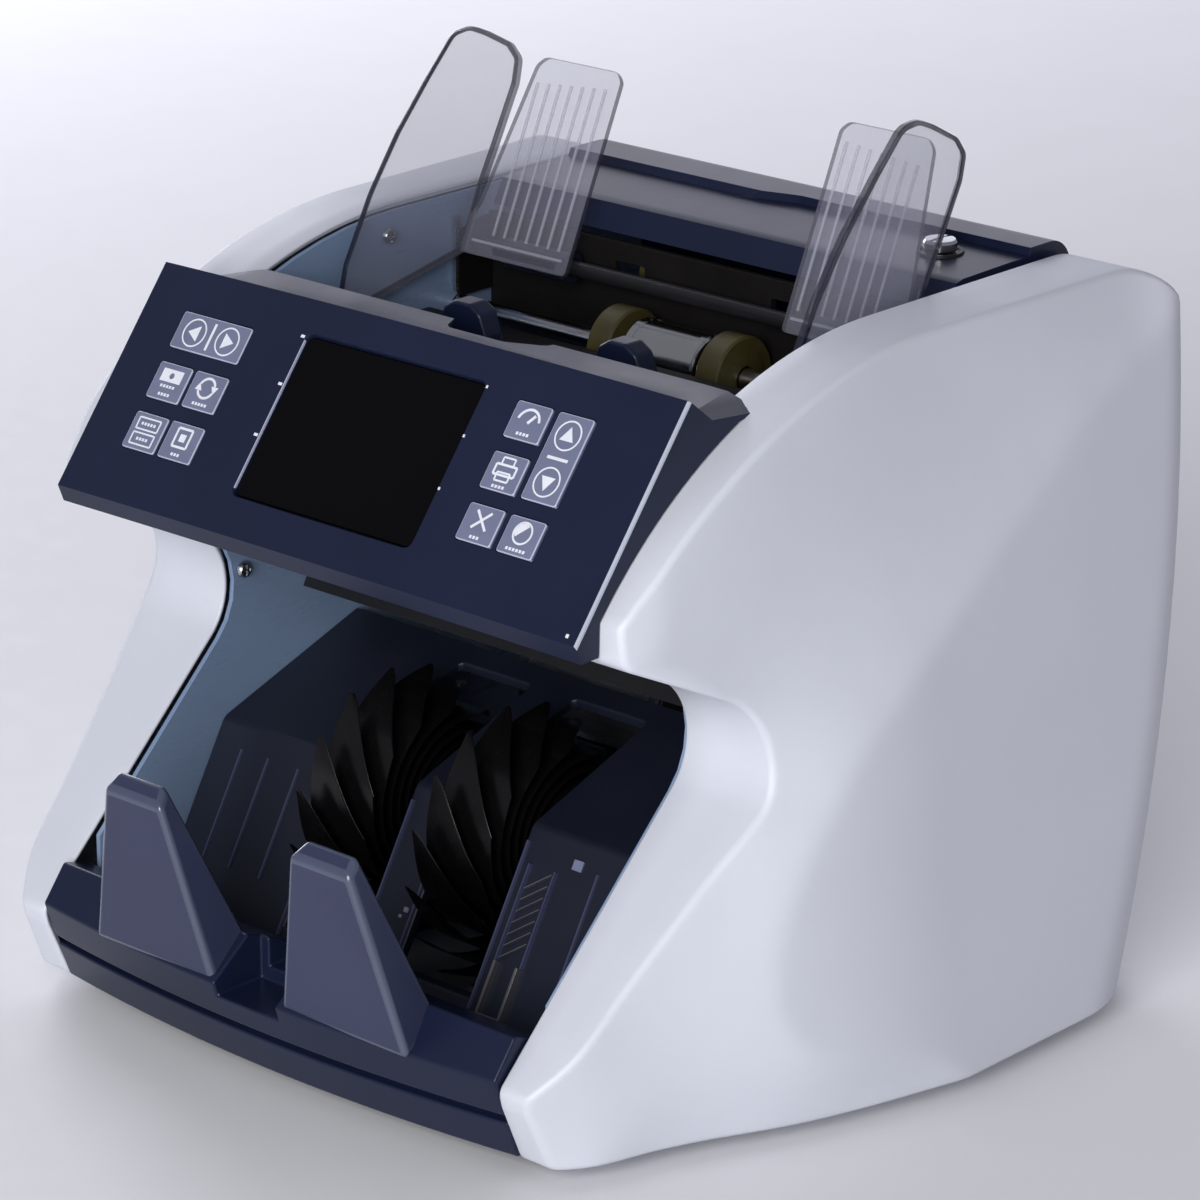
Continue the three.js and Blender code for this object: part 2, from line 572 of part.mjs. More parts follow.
// Right-hand guide: a plain side wing and a ribbed back wing, joined low down, on a sleeve.
function hopperGuide() {
  const side = sideSweep(SIDE_WING, WING_X, WING_X + 2.4);
  const lean = THREE.MathUtils.degToRad(GUIDE_LEAN);
  const upSlope = new THREE.Vector3(0, Math.sin(lean), Math.cos(lean));
  const outOfSlope = new THREE.Vector3(0, -Math.cos(lean), Math.sin(lean));
  const axes = new THREE.Matrix4().makeBasis(new THREE.Vector3(1, 0, 0), upSlope, outOfSlope);
  axes.setPosition(0, 48, WING_FOOT);
  const wing = new THREE.ExtrudeGeometry(outline(BACK_WING), { depth: 2.2, bevelEnabled: false });
  const back = toSolid(wing.applyMatrix4(axes));
  const ribs = [];
  for (let i = 0; i < 7; i++) {
    const rib = new THREE.BoxGeometry(0.9, 54, 1).translate(48 + i * 4.6, 34, 2.4);
    ribs.push(toSolid(rib.applyMatrix4(axes)));
  }
  const sleeve = join(bar(5, 50, 76, ROD_Y, ROD_Z), box(50, 76, 48.2, 55, 192.9, 196));
  return cut(join(side, back, ...ribs, sleeve), bar(ROD_R + GAP, 40, 100, ROD_Y, ROD_Z));
}

function rearLid() {
  const tail = arc(LID_HINGE_Y, LID_HINGE_Z, LID_TAIL_R, -15, 90, 8);
  const shape = [[64.8, 204.6], [113, 203], ...tail, [100.5, LID_TOP], [99, LID_DECK], [72, LID_DECK - 0.6],
    [69.4, 212.4]];
  const half = FRAME_IN - 0.8;
  const under = box(3 - half, half - 3, 70, 109, 190, LID_DECK - 3);
  const fingerRecess = box(-20, 40, 90, 104, LID_DECK - 0.2, 220);
  const pinHoles = bar(PIN_R + GAP, -100, 100, LID_HINGE_Y, LID_HINGE_Z);
  return cut(sideSweep(shape, -half, half), under, fingerRecess, pinHoles, post(2.6, KNOB_X, KNOB_Y, 190, 220));
}

function gapKnob() {
  const profile = [[0, -7], [2.2, -7], [2.2, 0.6], [5.2, 0.6], [5.2, 3.6], [4.4, 4.4], [0, 4.4]];
  const geometry = new THREE.LatheGeometry(profile.map(([r, h]) => new THREE.Vector2(r, h)), 24);
  const knob = toSolid(geometry.rotateX(Math.PI / 2).translate(KNOB_X, KNOB_Y, LID_DECK - 0.2));
  const driverSlot = box(KNOB_X - 0.6, KNOB_X + 0.6, KNOB_Y - 8, KNOB_Y + 8, LID_DECK + 3.6, 220);
  return cut(knob, driverSlot);
}

// ---------- stacker ----------
function stackerTray() {
  const sheet = sideSweep([...TRAY_TOP, ...TRAY_UNDER].reverse(), -SPAN, SPAN);
  const slots = [-1, 1].map((side) => {
    const middle = side * (SLOT_FROM + SLOT_TO) / 2;
    const half = (SLOT_TO - SLOT_FROM) / 2;
    return box(middle - half, middle + half, -90, SLOT_REAR, 21, 120);
  });
  const ribSide = [[-79.6, 26.9], [-61.1, 58.9], [-60.1, 57.9], [-78.6, 25.9]];
  const ribs = TRAY_RIBS.map((x) => sideSweep(ribSide, x - 0.6, x + 0.6));
  return cut(join(sheet, ...ribs), ...slots);
}

// One wheel: spiral blades from a hub, swept back from the way it turns.
function stackerWheel() {
  const rootR = 15;
  const steps = 9;
  const swept = 150;                // degrees that a blade runs round the wheel
  const edge = (start, thickness) => Array.from({ length: steps + 1 }, (_, k) => {
    const radius = rootR + (WHEEL_R - rootR) * k / steps;
    const sweep = swept * (1 - k / steps) ** 1.25;
    const angle = THREE.MathUtils.degToRad(start + sweep) + thickness * (1 - 0.6 * k / steps) / radius;
    return [WHEEL_Y + radius * Math.cos(angle), WHEEL_Z + radius * Math.sin(angle)];
  });
  const points = [];
  for (let i = 0; i < BLADES; i++) {
    const start = i * 360 / BLADES;
    points.push(...edge(start, 0), ...edge(start, 1.7).reverse());
  }
  const blades = sideSweep(points, -WHEEL_WIDTH / 2, WHEEL_WIDTH / 2);
  return cut(blades, bar(SHAFT_R + GAP, -20, 20, WHEEL_Y, WHEEL_Z)).translate([WHEEL_X, 0, 0]);
}

function beltLoop() {
  const dy = MOTOR_Y - DRIVE_Y;
  const dz = MOTOR_Z - DRIVE_Z;
  const distance = Math.hypot(dy, dz);
  const heading = THREE.MathUtils.radToDeg(Math.atan2(dz, dy));
  const loop = (extra) => {
    const big = DRIVE_PULLEY_R + extra;
    const small = MOTOR_PULLEY_R + extra;
    const wrap = THREE.MathUtils.radToDeg(Math.acos((big - small) / distance));
    return [...arc(DRIVE_Y, DRIVE_Z, big, heading + wrap, heading + 360 - wrap, 14),
      ...arc(MOTOR_Y, MOTOR_Z, small, heading - wrap, heading + wrap, 10)];
  };
  return cut(sideSweep(loop(GAP + BELT), -103, -97), sideSweep(loop(GAP), -110, -90));
}

// Sheet that leads the notes round the front of the drum and down a chute to the stacker wheels.
function drumGuide() {
  const path = 4;                   // room for a note between the drum and the sheet
  const outer = arc(DRIVE_Y, DRIVE_Z, DRIVE_R + path + 2, 115, 180, 8);
  const inner = arc(DRIVE_Y, DRIVE_Z, DRIVE_R + path, 115, 180, 8).reverse();
  const chute = [[-21, 99.5], [-19.2, 98.7]];
  return sideSweep([...outer, ...chute, ...inner], -SPAN, SPAN);
}

function pocketCeiling() {
  const section = [[-95, 147.2], [-95, 144.4], [-61.4, 128.2], [-25, 110.2], [-26, 113], [-62, 131]];
  return sideSweep(section, -SPAN, SPAN);
}

// A wheel or drum with a bore for its shaft.
function roller(radius, x0, x1, y, z, sides) {
  return cut(bar(radius, x0, x1, y, z, sides), bar(SHAFT_R + GAP, x0 - 5, x1 + 5, y, z));
}

// Cross-slot screw head on the inner face of the right-hand frame, at (y, z).
function frameScrew(y, z) {
  const x = SPAN - 0.9;
  const head = bar(2.6, x - 0.9, x + 0.9, y, z, 14);
  const upright = box(x - 2, x - 0.3, y - 0.5, y + 0.5, z - 1.8, z + 1.8);
  const level = box(x - 2, x - 0.3, y - 1.8, y + 1.8, z - 0.5, z + 0.5);
  return cut(head, upright, level);
}

// ---------- assembly ----------
const machine = new THREE.Group();
const panel = new THREE.Group();
panel.position.set(0, PANEL_TOP_Y, PANEL_TOP_Z);
panel.rotation.x = tilt;
machine.add(panel);

function add(name, solid, material, group = machine) {
  const mesh = new THREE.Mesh(toGeometry(solid), material);
  mesh.name = name;
  group.add(mesh);
}

function addPair(name, rightSolid, material) {
  add(`right_${name}`, rightSolid, material);
  add(`left_${name}`, mirrored(rightSolid), material);
}

addPair('side_cover', sideCover(), WHITE);
addPair('side_frame', sideFrame(), STEEL_BLUE);
for (const [place, y, z] of [['hopper', 18.3, 203.4], ['stacker', -46.2, 111.3]]) {
  addPair(`${place}_screw`, frameScrew(y, z), STEEL);
}

const base = baseFront();
add('base_front', base, NAVY);
addPair('stop_paddle', stopPaddle(base), SLATE);
add('base_plate', basePlate(), STEEL);
for (const [row, y] of [['front', -98], ['rear', 86]]) {
  add(`foot_${row}_left`, foot(-80, y), RUBBER);
  add(`foot_${row}_right`, foot(80, y), RUBBER);
}

add('rear_panel', rearPanel(), NAVY);
add('power_inlet', powerInlet(), BLACK);
add('power_switch', powerSwitch(), BLACK);
add('power_supply', box(12, 84, 72, 94, 4, 30), STEEL);
add('main_circuit_board', box(8, 86, 68, 69.6, 34, 100), GREEN_BOARD);

add('control_panel_housing', panelHousing(), NAVY, panel);
add('display_window', roundedRectangle(-SCREEN_HALF, SCREEN_HALF, SCREEN_BOTTOM, SCREEN_TOP, 2.6, -2.9, 2.3),
  GLOSS_BLACK, panel);
add('display_module', box(-36.5, 36.5, -62.5, -10, GAP - BOARD_DEPTH, -3.3), STEEL, panel);
add('panel_circuit_board', box(-88, 88, -69, -6, -BOARD_DEPTH - 1.6, -BOARD_DEPTH), GREEN_BOARD, panel);
for (const [name, x, y, w, h] of KEYS) {
  const top = PANEL_BOW * (1 - (x / PANEL_HALF) ** 2) + KEY_PROUD;
  add(name, keyBlock(x, y, w, h, 0, -KEY_DEEP, top), KEY_GREY, panel);
}

add('hopper_floor', hopperFloor(), BLACK);
add('hopper_back_wall', hopperBackWall(), BLACK);
addPair('hopper_guide', hopperGuide(), SMOKE);
add('guide_rod', bar(ROD_R, -SPAN, SPAN, ROD_Y, ROD_Z), BLACK);
add('rear_lid', rearLid(), NAVY);
addPair('lid_hinge_pin', bar(PIN_R, FRAME_IN - 6, FRAME_OUT + 2, LID_HINGE_Y, LID_HINGE_Z, 16), STEEL);
add('feed_gap_knob', gapKnob(), CHROME);

const sleeve = bar(FEED_SLEEVE_R, -14.5, 14.5, FEED_Y, FEED_Z, 28);
add('feed_shaft', join(bar(SHAFT_R, -97, 97, FEED_Y, FEED_Z), sleeve), CHROME);
addPair('feed_roller', roller(FEED_R, 17, 27, FEED_Y, FEED_Z, 28), OLIVE);
add('transport_drum', roller(DRIVE_R, -60, 60, DRIVE_Y, DRIVE_Z, 32), RUBBER);
add('drum_shaft', bar(SHAFT_R, -106, 97, DRIVE_Y, DRIVE_Z), STEEL);
add('drum_pulley', roller(DRIVE_PULLEY_R, -103.5, -96.5, DRIVE_Y, DRIVE_Z, 28), BLACK);
add('drum_guide', drumGuide(), BLACK);
add('pocket_ceiling', pocketCeiling(), BLACK);
add('image_sensor_bar', box(-80, 80, -40, -26, 146, 158), BLACK);
add('drive_motor', bar(MOTOR_R, -84, -24, MOTOR_Y, MOTOR_Z, 28), STEEL);
add('motor_pulley', join(bar(MOTOR_PULLEY_R, -103.5, -96.5, MOTOR_Y, MOTOR_Z),
  bar(MOTOR_SHAFT_R, -97, -84.6, MOTOR_Y, MOTOR_Z)), BRASS);
add('drive_belt', beltLoop(), RUBBER);

add('stacker_tray', stackerTray(), BLACK);
add('stacker_shaft', bar(SHAFT_R, -97, 97, WHEEL_Y, WHEEL_Z), STEEL);
const wheel = stackerWheel();
add('right_stacker_wheel', wheel, RUBBER);
add('left_stacker_wheel', wheel.translate([-2 * WHEEL_X, 0, 0]), RUBBER);

machine.position.set(0, FRAME_SHIFT_Y, FOOT_HEIGHT);

export default machine;
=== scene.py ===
"""Looks of a banknote counting machine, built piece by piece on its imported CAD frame.

Shapes are drawn in millimetres in the machine's drawing frame: x to the right, y to the rear and z up,
with z = 0 at the underside of the base. DRAWING carries them into the row frame, in metres.
"""
import math

import bmesh
import bpy
import numpy as np
from mathutils import Matrix, Vector
from mathutils.geometry import delaunay_2d_cdt


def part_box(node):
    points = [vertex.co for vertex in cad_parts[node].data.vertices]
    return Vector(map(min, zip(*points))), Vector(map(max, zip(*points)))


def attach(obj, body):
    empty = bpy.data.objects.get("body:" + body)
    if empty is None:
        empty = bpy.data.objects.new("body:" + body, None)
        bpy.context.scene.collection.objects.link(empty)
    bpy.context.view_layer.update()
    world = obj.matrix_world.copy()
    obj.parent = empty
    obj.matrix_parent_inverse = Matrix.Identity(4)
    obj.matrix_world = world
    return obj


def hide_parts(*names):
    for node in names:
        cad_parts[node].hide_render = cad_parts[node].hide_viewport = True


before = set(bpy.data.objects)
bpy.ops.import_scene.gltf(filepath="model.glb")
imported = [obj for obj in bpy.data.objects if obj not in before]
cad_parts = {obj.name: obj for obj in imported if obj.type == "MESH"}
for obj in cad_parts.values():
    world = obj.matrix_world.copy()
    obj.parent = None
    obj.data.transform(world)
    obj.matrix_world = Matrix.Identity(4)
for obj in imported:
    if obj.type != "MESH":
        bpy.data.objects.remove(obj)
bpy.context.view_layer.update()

# ---------- driving dimensions, in millimetres ----------
# Cover: its inner face, its side view and the wall, ridge and crease of its skin.
BAY = 93.7
TOP = 213
ARC = (25, 53, 160)  # the front slope's centre (y, z) and radius
BROW_Y, BROW_TOP = -98.5, 155
THROAT = (-73, 108, 21)  # the hand notch's centre (y, z) and radius
THROAT_ANGLES = (64.5, -45.8)
NOSE = (-129.2, 24)
TOE_Y = -120
BACK_TOP = (138.5, 185)
BACK_TUCK = 37
REAR_R = 28
REAR_HALF, SIDE_TAPER = 153.5, 0.127  # half width at the foot of the rear part, and its fall per height
FRONT_FALL = (9, 62)  # how far the rear part falls in, and over what depth
CORNER_R = 40
COVER_WALL = 2.4
RIDGE_R = 1.9
CREASE = 0.3
# Control panel: its upper edge (y, z), its size and its slope.
PANEL_TOP = (-62.5, 209.4)
PANEL_LENGTH = 77.4
PANEL_TILT = math.radians(52.04)
PANEL_HALF = 104
PANEL_BOW = 2.5
# Inner pieces: half the width between the frames, then turning centres (y, z), the knob's as (x, y).
PLATE_HALF = 91.3
WHEEL = (-39.5, 48, 44)  # centre and radius
BLADES = 16
FEED = (50, 174.5)
WINDOW_ROLLER = (71.4, 193.2)
GUIDE_ROD = (57, 193)
DRUM = (22, 122)
MOTOR = (86, 45)
KNOB = (68, 90)

cover_low, cover_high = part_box("right_side_cover")
DRAWING = Matrix.Translation((0, cover_high.y - BACK_TOP[0] / 1000, cover_low.z)) @ Matrix.Scale(0.001, 4)


# ---------- materials ----------
def ramp(tree, factor, low, high, low_at=0.3, high_at=0.7):
    node = tree.nodes.new("ShaderNodeValToRGB")
    node.color_ramp.elements[0].position = low_at
    node.color_ramp.elements[0].color = (*low, 1)
    node.color_ramp.elements[1].position = high_at
    node.color_ramp.elements[1].color = (*high, 1)
    tree.links.new(factor, node.inputs["Fac"])
    return node.outputs["Color"]


def noise(tree, coords, scale, detail=4.0, roughness=0.55, stretch=None):
    if stretch:
        mapping = tree.nodes.new("ShaderNodeMapping")
        mapping.inputs["Scale"].default_value = stretch
        tree.links.new(coords, mapping.inputs["Vector"])
        coords = mapping.outputs["Vector"]
    node = tree.nodes.new("ShaderNodeTexNoise")
    node.inputs["Scale"].default_value = scale
    node.inputs["Detail"].default_value = detail
    node.inputs["Roughness"].default_value = roughness
    tree.links.new(coords, node.inputs["Vector"])
    return node.outputs["Fac"]


def spread(tree, factor, low, high):
    node = tree.nodes.new("ShaderNodeMapRange")
    node.inputs["From Min"].default_value = 0.3
    node.inputs["From Max"].default_value = 0.7
    node.inputs["To Min"].default_value = low
    node.inputs["To Max"].default_value = high
    tree.links.new(factor, node.inputs["Value"])
    return node.outputs["Result"]


def shade(name, color, roughness, metallic=0.0, mottle=0.05, mottle_scale=18.0, rough_spread=0.05,
          grain=0.12, grain_scale=1400.0, stretch=None, coat=0.0, alpha=1.0, wear=0.0, specular=0.5):
    """A moulded or metal finish: patchy colour, uneven gloss, fine grain and paler worn edges."""
    material = bpy.data.materials.new(name)
    material.use_nodes = True
    tree = material.node_tree
    shader = tree.nodes["Principled BSDF"]
    coords = tree.nodes.new("ShaderNodeTexCoord").outputs["Object"]
    patches = noise(tree, coords, mottle_scale, 6.0)
    low = [max(0.0, c * (1 - mottle)) for c in color]
    high = [min(1.0, c * (1 + mottle)) for c in color]
    tint = ramp(tree, patches, low, high)
    if wear:
        geometry = tree.nodes.new("ShaderNodeNewGeometry")
        edges = tree.nodes.new("ShaderNodeMapRange")
        edges.inputs["From Min"].default_value = 0.52
        edges.inputs["From Max"].default_value = 0.62
        edges.inputs["To Max"].default_value = wear
        tree.links.new(geometry.outputs["Pointiness"], edges.inputs["Value"])
        worn = tree.nodes.new("ShaderNodeMix")
        worn.data_type = "RGBA"
        tree.links.new(edges.outputs["Result"], worn.inputs["Factor"])
        tree.links.new(tint, worn.inputs["A"])
        tree.links.new(ramp(tree, patches, [min(1, c * 1.6 + 0.02) for c in color],
                            [min(1, c * 2.1 + 0.04) for c in color]), worn.inputs["B"])
        tint = worn.outputs["Result"]
    tree.links.new(tint, shader.inputs["Base Color"])
    gloss = noise(tree, coords, mottle_scale * 4, 5.0, 0.6, stretch)
    tree.links.new(spread(tree, gloss, max(0.02, roughness - rough_spread), roughness + rough_spread),
                   shader.inputs["Roughness"])
    bump = tree.nodes.new("ShaderNodeBump")
    bump.inputs["Strength"].default_value = grain
    bump.inputs["Distance"].default_value = 0.0002
    tree.links.new(noise(tree, coords, grain_scale, 3.0, 0.6, stretch), bump.inputs["Height"])
    tree.links.new(bump.outputs["Normal"], shader.inputs["Normal"])
    shader.inputs["Metallic"].default_value = metallic
    shader.inputs["Coat Weight"].default_value = coat
    shader.inputs["Coat Roughness"].default_value = 0.12
    shader.inputs["Specular IOR Level"].default_value = specular
    shader.inputs["Alpha"].default_value = alpha
    return material


WHITE = shade("cover_white", (0.60, 0.62, 0.69), 0.42, mottle=0.025, grain=0.10, wear=0.10)
NAVY = shade("navy_satin", (0.0085, 0.0125, 0.036), 0.30, mottle=0.10, rough_spread=0.015, grain=0.04,
             specular=0.28)
# Painted highlight: a pale glossy navy for the rounding along the control panel's right end, standing in for
# the bright reflection that edge catches.
NAVY_PAINTED_HIGHLIGHT = shade("navy_painted_highlight", (0.42, 0.45, 0.54), 0.22, mottle=0.10, rough_spread=0.03, grain=0.04,
                  coat=0.6)
SLATE = shade("slate_satin", (0.029, 0.034, 0.076), 0.36, mottle=0.08, grain=0.14, wear=0.3, specular=0.35)
TRAY = shade("tray_blue_black", (0.0085, 0.011, 0.022), 0.38, mottle=0.12, grain=0.18, wear=0.2,
             specular=0.3)
BLACK = shade("moulded_black", (0.005, 0.005, 0.007), 0.42, mottle=0.15, grain=0.2, wear=0.15, specular=0.3)
WARM_BLACK = shade("plate_black", (0.007, 0.0058, 0.006), 0.45, mottle=0.2, grain=0.2, specular=0.3)
SCREEN = shade("screen_glass", (0.0014, 0.0010, 0.0014), 0.09, mottle=0.2, rough_spread=0.03, grain=0.01,
               specular=0.12)
KEY = shade("key_grey", (0.150, 0.165, 0.260), 0.34, mottle=0.08, mottle_scale=60, grain=0.10, coat=0.3)
GUNMETAL = shade("dull_metal", (0.20, 0.20, 0.22), 0.36, metallic=0.8, mottle=0.2, mottle_scale=40,
                 grain=0.1)
# Painted highlight: a lighter glossy slate for the stop paddles' rounded edges, standing in for the
# reflections along their rims.
SLATE_PAINTED_HIGHLIGHT = shade("slate_painted_highlight", (0.055, 0.066, 0.115), 0.22, mottle=0.10, grain=0.05, coat=0.6)
# Painted highlight: a paler grey for the keys' rounded borders and the bead beside the display, standing in
# for light caught on those edges.
KEY_PAINTED_HIGHLIGHT = shade("key_painted_highlight", (0.40, 0.42, 0.55), 0.30, mottle=0.08, mottle_scale=60, grain=0.05,
                 coat=0.3)
PRINT = shade("print_white", (0.72, 0.73, 0.80), 0.5, mottle=0.05, mottle_scale=200, grain=0.1)
BLUE_STEEL = shade("blue_painted_steel", (0.20, 0.28, 0.43), 0.30, metallic=0.1, mottle=0.10, mottle_scale=7,
                   grain=0.06, stretch=(1, 1, 6), wear=0.2)
STEEL = shade("turned_steel", (0.50, 0.51, 0.54), 0.28, metallic=1.0, mottle=0.12, mottle_scale=40,
              rough_spread=0.10, grain=0.10, stretch=(12, 1, 1))
ZINC = shade("zinc_sheet", (0.42, 0.43, 0.45), 0.42, metallic=0.9, mottle=0.2, mottle_scale=30,
             rough_spread=0.12, grain=0.1)
CHROME = shade("chrome", (0.55, 0.55, 0.57), 0.16, metallic=1.0, mottle=0.05, rough_spread=0.05,
               grain=0.02)
BRASS = shade("brass", (0.55, 0.37, 0.11), 0.3, metallic=1.0, mottle=0.15, mottle_scale=40, grain=0.08)
RUBBER = shade("black_rubber", (0.012, 0.011, 0.012), 0.62, mottle=0.25, mottle_scale=50, grain=0.35)
FINGER = shade("finger_rubber", (0.0030, 0.0026, 0.0030), 0.24, mottle=0.2, mottle_scale=40, grain=0.06,
               specular=0.35)
OLIVE = shade("olive_rubber", (0.055, 0.043, 0.010), 0.5, mottle=0.25, mottle_scale=90, grain=0.3)
BOARD = shade("circuit_board", (0.012, 0.085, 0.035), 0.4, mottle=0.3, mottle_scale=120, grain=0.3,
              grain_scale=700)
SMOKE = shade("smoke_clear", (0.34, 0.34, 0.43), 0.09, mottle=0.05, rough_spread=0.03, grain=0.015,
              coat=0.5, alpha=0.20)
SMOKE_EDGE = shade("smoke_edge", (0.012, 0.014, 0.030), 0.12, mottle=0.1, rough_spread=0.03, grain=0.02,
                   coat=0.5, alpha=0.72)
RIB = shade("smoke_rib", (0.50, 0.50, 0.60), 0.2, mottle=0.1, rough_spread=0.03, grain=0.02, coat=0.5,
            alpha=0.35)


# ---------- mesh helpers ----------
def arc(cx, cy, radius, start, end, steps):
    angles = [math.radians(start + (end - start) * i / steps) for i in range(steps + 1)]
    return [(cx + radius * math.cos(a), cy + radius * math.sin(a)) for a in angles]


def fillet(points, radius, steps=4):
    """The closed outline with its corners rounded; radius is one number or one for each corner."""
    radii = radius if hasattr(radius, "__len__") else [radius] * len(points)
    out = []
    for i, r in enumerate(radii):
        p, before, after = Vector(points[i]), Vector(points[i - 1]), Vector(points[(i + 1) % len(points)])
        if r <= 0:
            out.append(tuple(p))
            continue
        a, b = (before - p), (after - p)
        half = a.angle(b) / 2
        reach = min(r / math.tan(half), 0.49 * min(a.length, b.length))
        start, end = p + a.normalized() * reach, p + b.normalized() * reach
        for k in range(steps + 1):
            t = k / steps
            out.append(tuple((1 - t) ** 2 * start + 2 * (1 - t) * t * p + t * t * end))
    return out


def loft(rings, caps=True, closed=False):
    """A skin through rings of points, each ring with as many points as the next."""
    bm = bmesh.new()
    rows = [[bm.verts.new(p) for p in ring] for ring in rings]
    pairs = list(zip(rows, rows[1:])) + ([(rows[-1], rows[0])] if closed else [])
    for row, following in pairs:
        for i in range(len(row)):
            j = (i + 1) % len(row)
            bm.faces.new((row[i], row[j], following[j], following[i]))
    if caps and not closed:
        bm.faces.new(rows[0][::-1])
        bm.faces.new(rows[-1])
    bmesh.ops.recalc_face_normals(bm, faces=bm.faces)
    return bm


AXES = {"x": lambda a, p: (a, p[0], p[1]),
        "y": lambda a, p: (p[0], a, p[1]),
        "z": lambda a, p: (p[0], p[1], a)}


def prism(outline, axis, start, end):
    return loft([[AXES[axis](at, p) for p in outline] for at in (start, end)])


def block(x0, x1, y0, y1, z0, z1):
    return prism([(x0, y0), (x1, y0), (x1, y1), (x0, y1)], "z", z0, z1)


def lathe(profile, axis, center, steps=48):
    """A turned piece: profile is (radius, position along the axis), center the other two coordinates."""
    rings = []
    for i in range(steps):
        angle = 2 * math.pi * i / steps
        u, v = math.cos(angle), math.sin(angle)
        rings.append([AXES[axis](at, (center[0] + r * u, center[1] + r * v)) for r, at in profile])
    bm = loft(rings, caps=False, closed=True)
    bmesh.ops.remove_doubles(bm, verts=bm.verts, dist=1e-4)
    bmesh.ops.recalc_face_normals(bm, faces=bm.faces)
    return bm


def merged(*parts):
    total = bmesh.new()
    for part in parts:
        mesh = bpy.data.meshes.new("part")
        part.to_mesh(mesh)
        total.from_mesh(mesh)
        part.free()
        bpy.data.meshes.remove(mesh)
    return total


def moved(bm, matrix):
    bmesh.ops.transform(bm, matrix=matrix, verts=bm.verts)
    if matrix.determinant() < 0:
        bmesh.ops.reverse_faces(bm, faces=bm.faces)
    return bm


def mirrored(bm):
    return moved(bm.copy(), Matrix.Scale(-1, 4, (1, 0, 0)))


def boolean(bm, tool, operation="DIFFERENCE"):
    objects = []
    for part in (bm, tool):
        mesh = bpy.data.meshes.new("cutting")
        part.to_mesh(mesh)
        part.free()
        objects.append(bpy.data.objects.new("cutting", mesh))
        bpy.context.scene.collection.objects.link(objects[-1])
    modifier = objects[0].modifiers.new("cut", "BOOLEAN")
    modifier.object = objects[1]
    modifier.operation = operation
    modifier.solver = "EXACT"
    modifier.use_self = operation == "UNION"
    depsgraph = bpy.context.evaluated_depsgraph_get()
    result = bmesh.new()
    result.from_mesh(bpy.data.meshes.new_from_object(objects[0].evaluated_get(depsgraph)))
    for o in objects:
        mesh = o.data
        bpy.data.objects.remove(o)
        bpy.data.meshes.remove(mesh)
    bmesh.ops.dissolve_limit(result, angle_limit=math.radians(0.5), verts=result.verts, edges=result.edges)
    return result


def soften(bm, width, segments=2, angle=28, keep=None, index=-1):
    """Rounds the edges sharper than angle that keep(edge) allows; index is the rounding's material."""
    edges = [e for e in bm.edges if len(e.link_faces) == 2 and e.calc_face_angle(0) > math.radians(angle)
             and (keep is None or keep(e))]
    bmesh.ops.bevel(bm, geom=edges, offset=width, segments=segments, profile=0.5, affect="EDGES",
                    clamp_overlap=True, material=index)
    return bm


def piece(name, bm, material, body="machine", replaces=(), sharp=40, weighted=True, place=DRAWING):
    """Makes the shape a named piece that rides on a body and stands for CAD nodes."""
    bm.transform(place)
    mesh = bpy.data.meshes.new(name)
    bm.to_mesh(mesh)
    bm.free()
    for m in material if isinstance(material, (list, tuple)) else [material]:
        mesh.materials.append(m)
    mesh.shade_smooth()
    mesh.set_sharp_from_angle(angle=math.radians(sharp))
    obj = bpy.data.objects.new(name, mesh)
    bpy.context.scene.collection.objects.link(obj)
    if weighted:
        modifier = obj.modifiers.new("shading", "WEIGHTED_NORMAL")
        modifier.keep_sharp = True
    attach(obj, body)
    if replaces:
        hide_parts(*([replaces] if isinstance(replaces, str) else replaces))
    return obj


# ---------- side covers ----------
# Half widths of the cover at places on its side: (y, z, half width). First the ridge round the edge,
# then the lower edge, the crease, and the front's flare carried on behind the crease.
FLARE = np.array([
    (118, 210, 121), (55, 212, 118), (-15, 207, 117.5), (-58, 189, 117), (-85, 169, 115), (-98, 150, 114.5),
    (-70, 130, 119), (-52, 105, 126), (-74, 81, 121), (-92, 65, 116.5), (-107, 51, 113.5), (-121, 37, 111),
    (-130, 25, 104), (-121, 0, 105), (-112, 0, 112), (-94, 0, 118), (-75, 0, 125.5), (-37, 0, 142),
    (-1, 0, 152), (124, 198, 128.3), (102, 187.3, 129.7), (80, 176.5, 131.1), (49, 157, 133.5),
    (29, 144, 135.2), (10, 131, 136.9), (-13, 116, 138.4), (-34, 99.6, 138.1), (-48, 83, 137.5),
    (-58.5, 65.5, 137.1), (-63, 51, 137.7), (-62, 37, 139.9), (-54, 23, 143), (112, 176, 134.5),
    (90, 165.5, 136), (59, 146, 139), (21, 121, 143.5), (-1, 107, 145.5), (-21, 92.5, 146), (-34, 78, 146),
    (-43.5, 62.5, 146.5), (-48, 50, 147), (60, 100, 165), (20, 50, 160), (60, 0, 175), (120, 100, 190),
    (120, 0, 210)], float)


def thin_plate(places):
    def kernel(r2):
        return np.where(r2 > 0, r2 * np.log(np.maximum(r2, 1e-12)) / 2, 0)
    y, z, value = places.T
    count = len(places)
    system = np.zeros((count + 3, count + 3))
    system[:count, :count] = kernel((y[:, None] - y) ** 2 + (z[:, None] - z) ** 2)
    for k, column in enumerate((np.ones(count), y, z)):
        system[:count, count + k] = column
        system[count + k, :count] = column
    weights = np.linalg.solve(system, np.concatenate([value, np.zeros(3)]))
    return lambda a, b: float(weights[:count] @ kernel((y - a) ** 2 + (z - b) ** 2)
                              + weights[count] + weights[count + 1] * a + weights[count + 2] * b)


flare_width = thin_plate(FLARE)


def back_face(z):
    below = max(0, BACK_TOP[1] - z) / BACK_TOP[1]
    return BACK_TOP[0] - BACK_TUCK * below * below


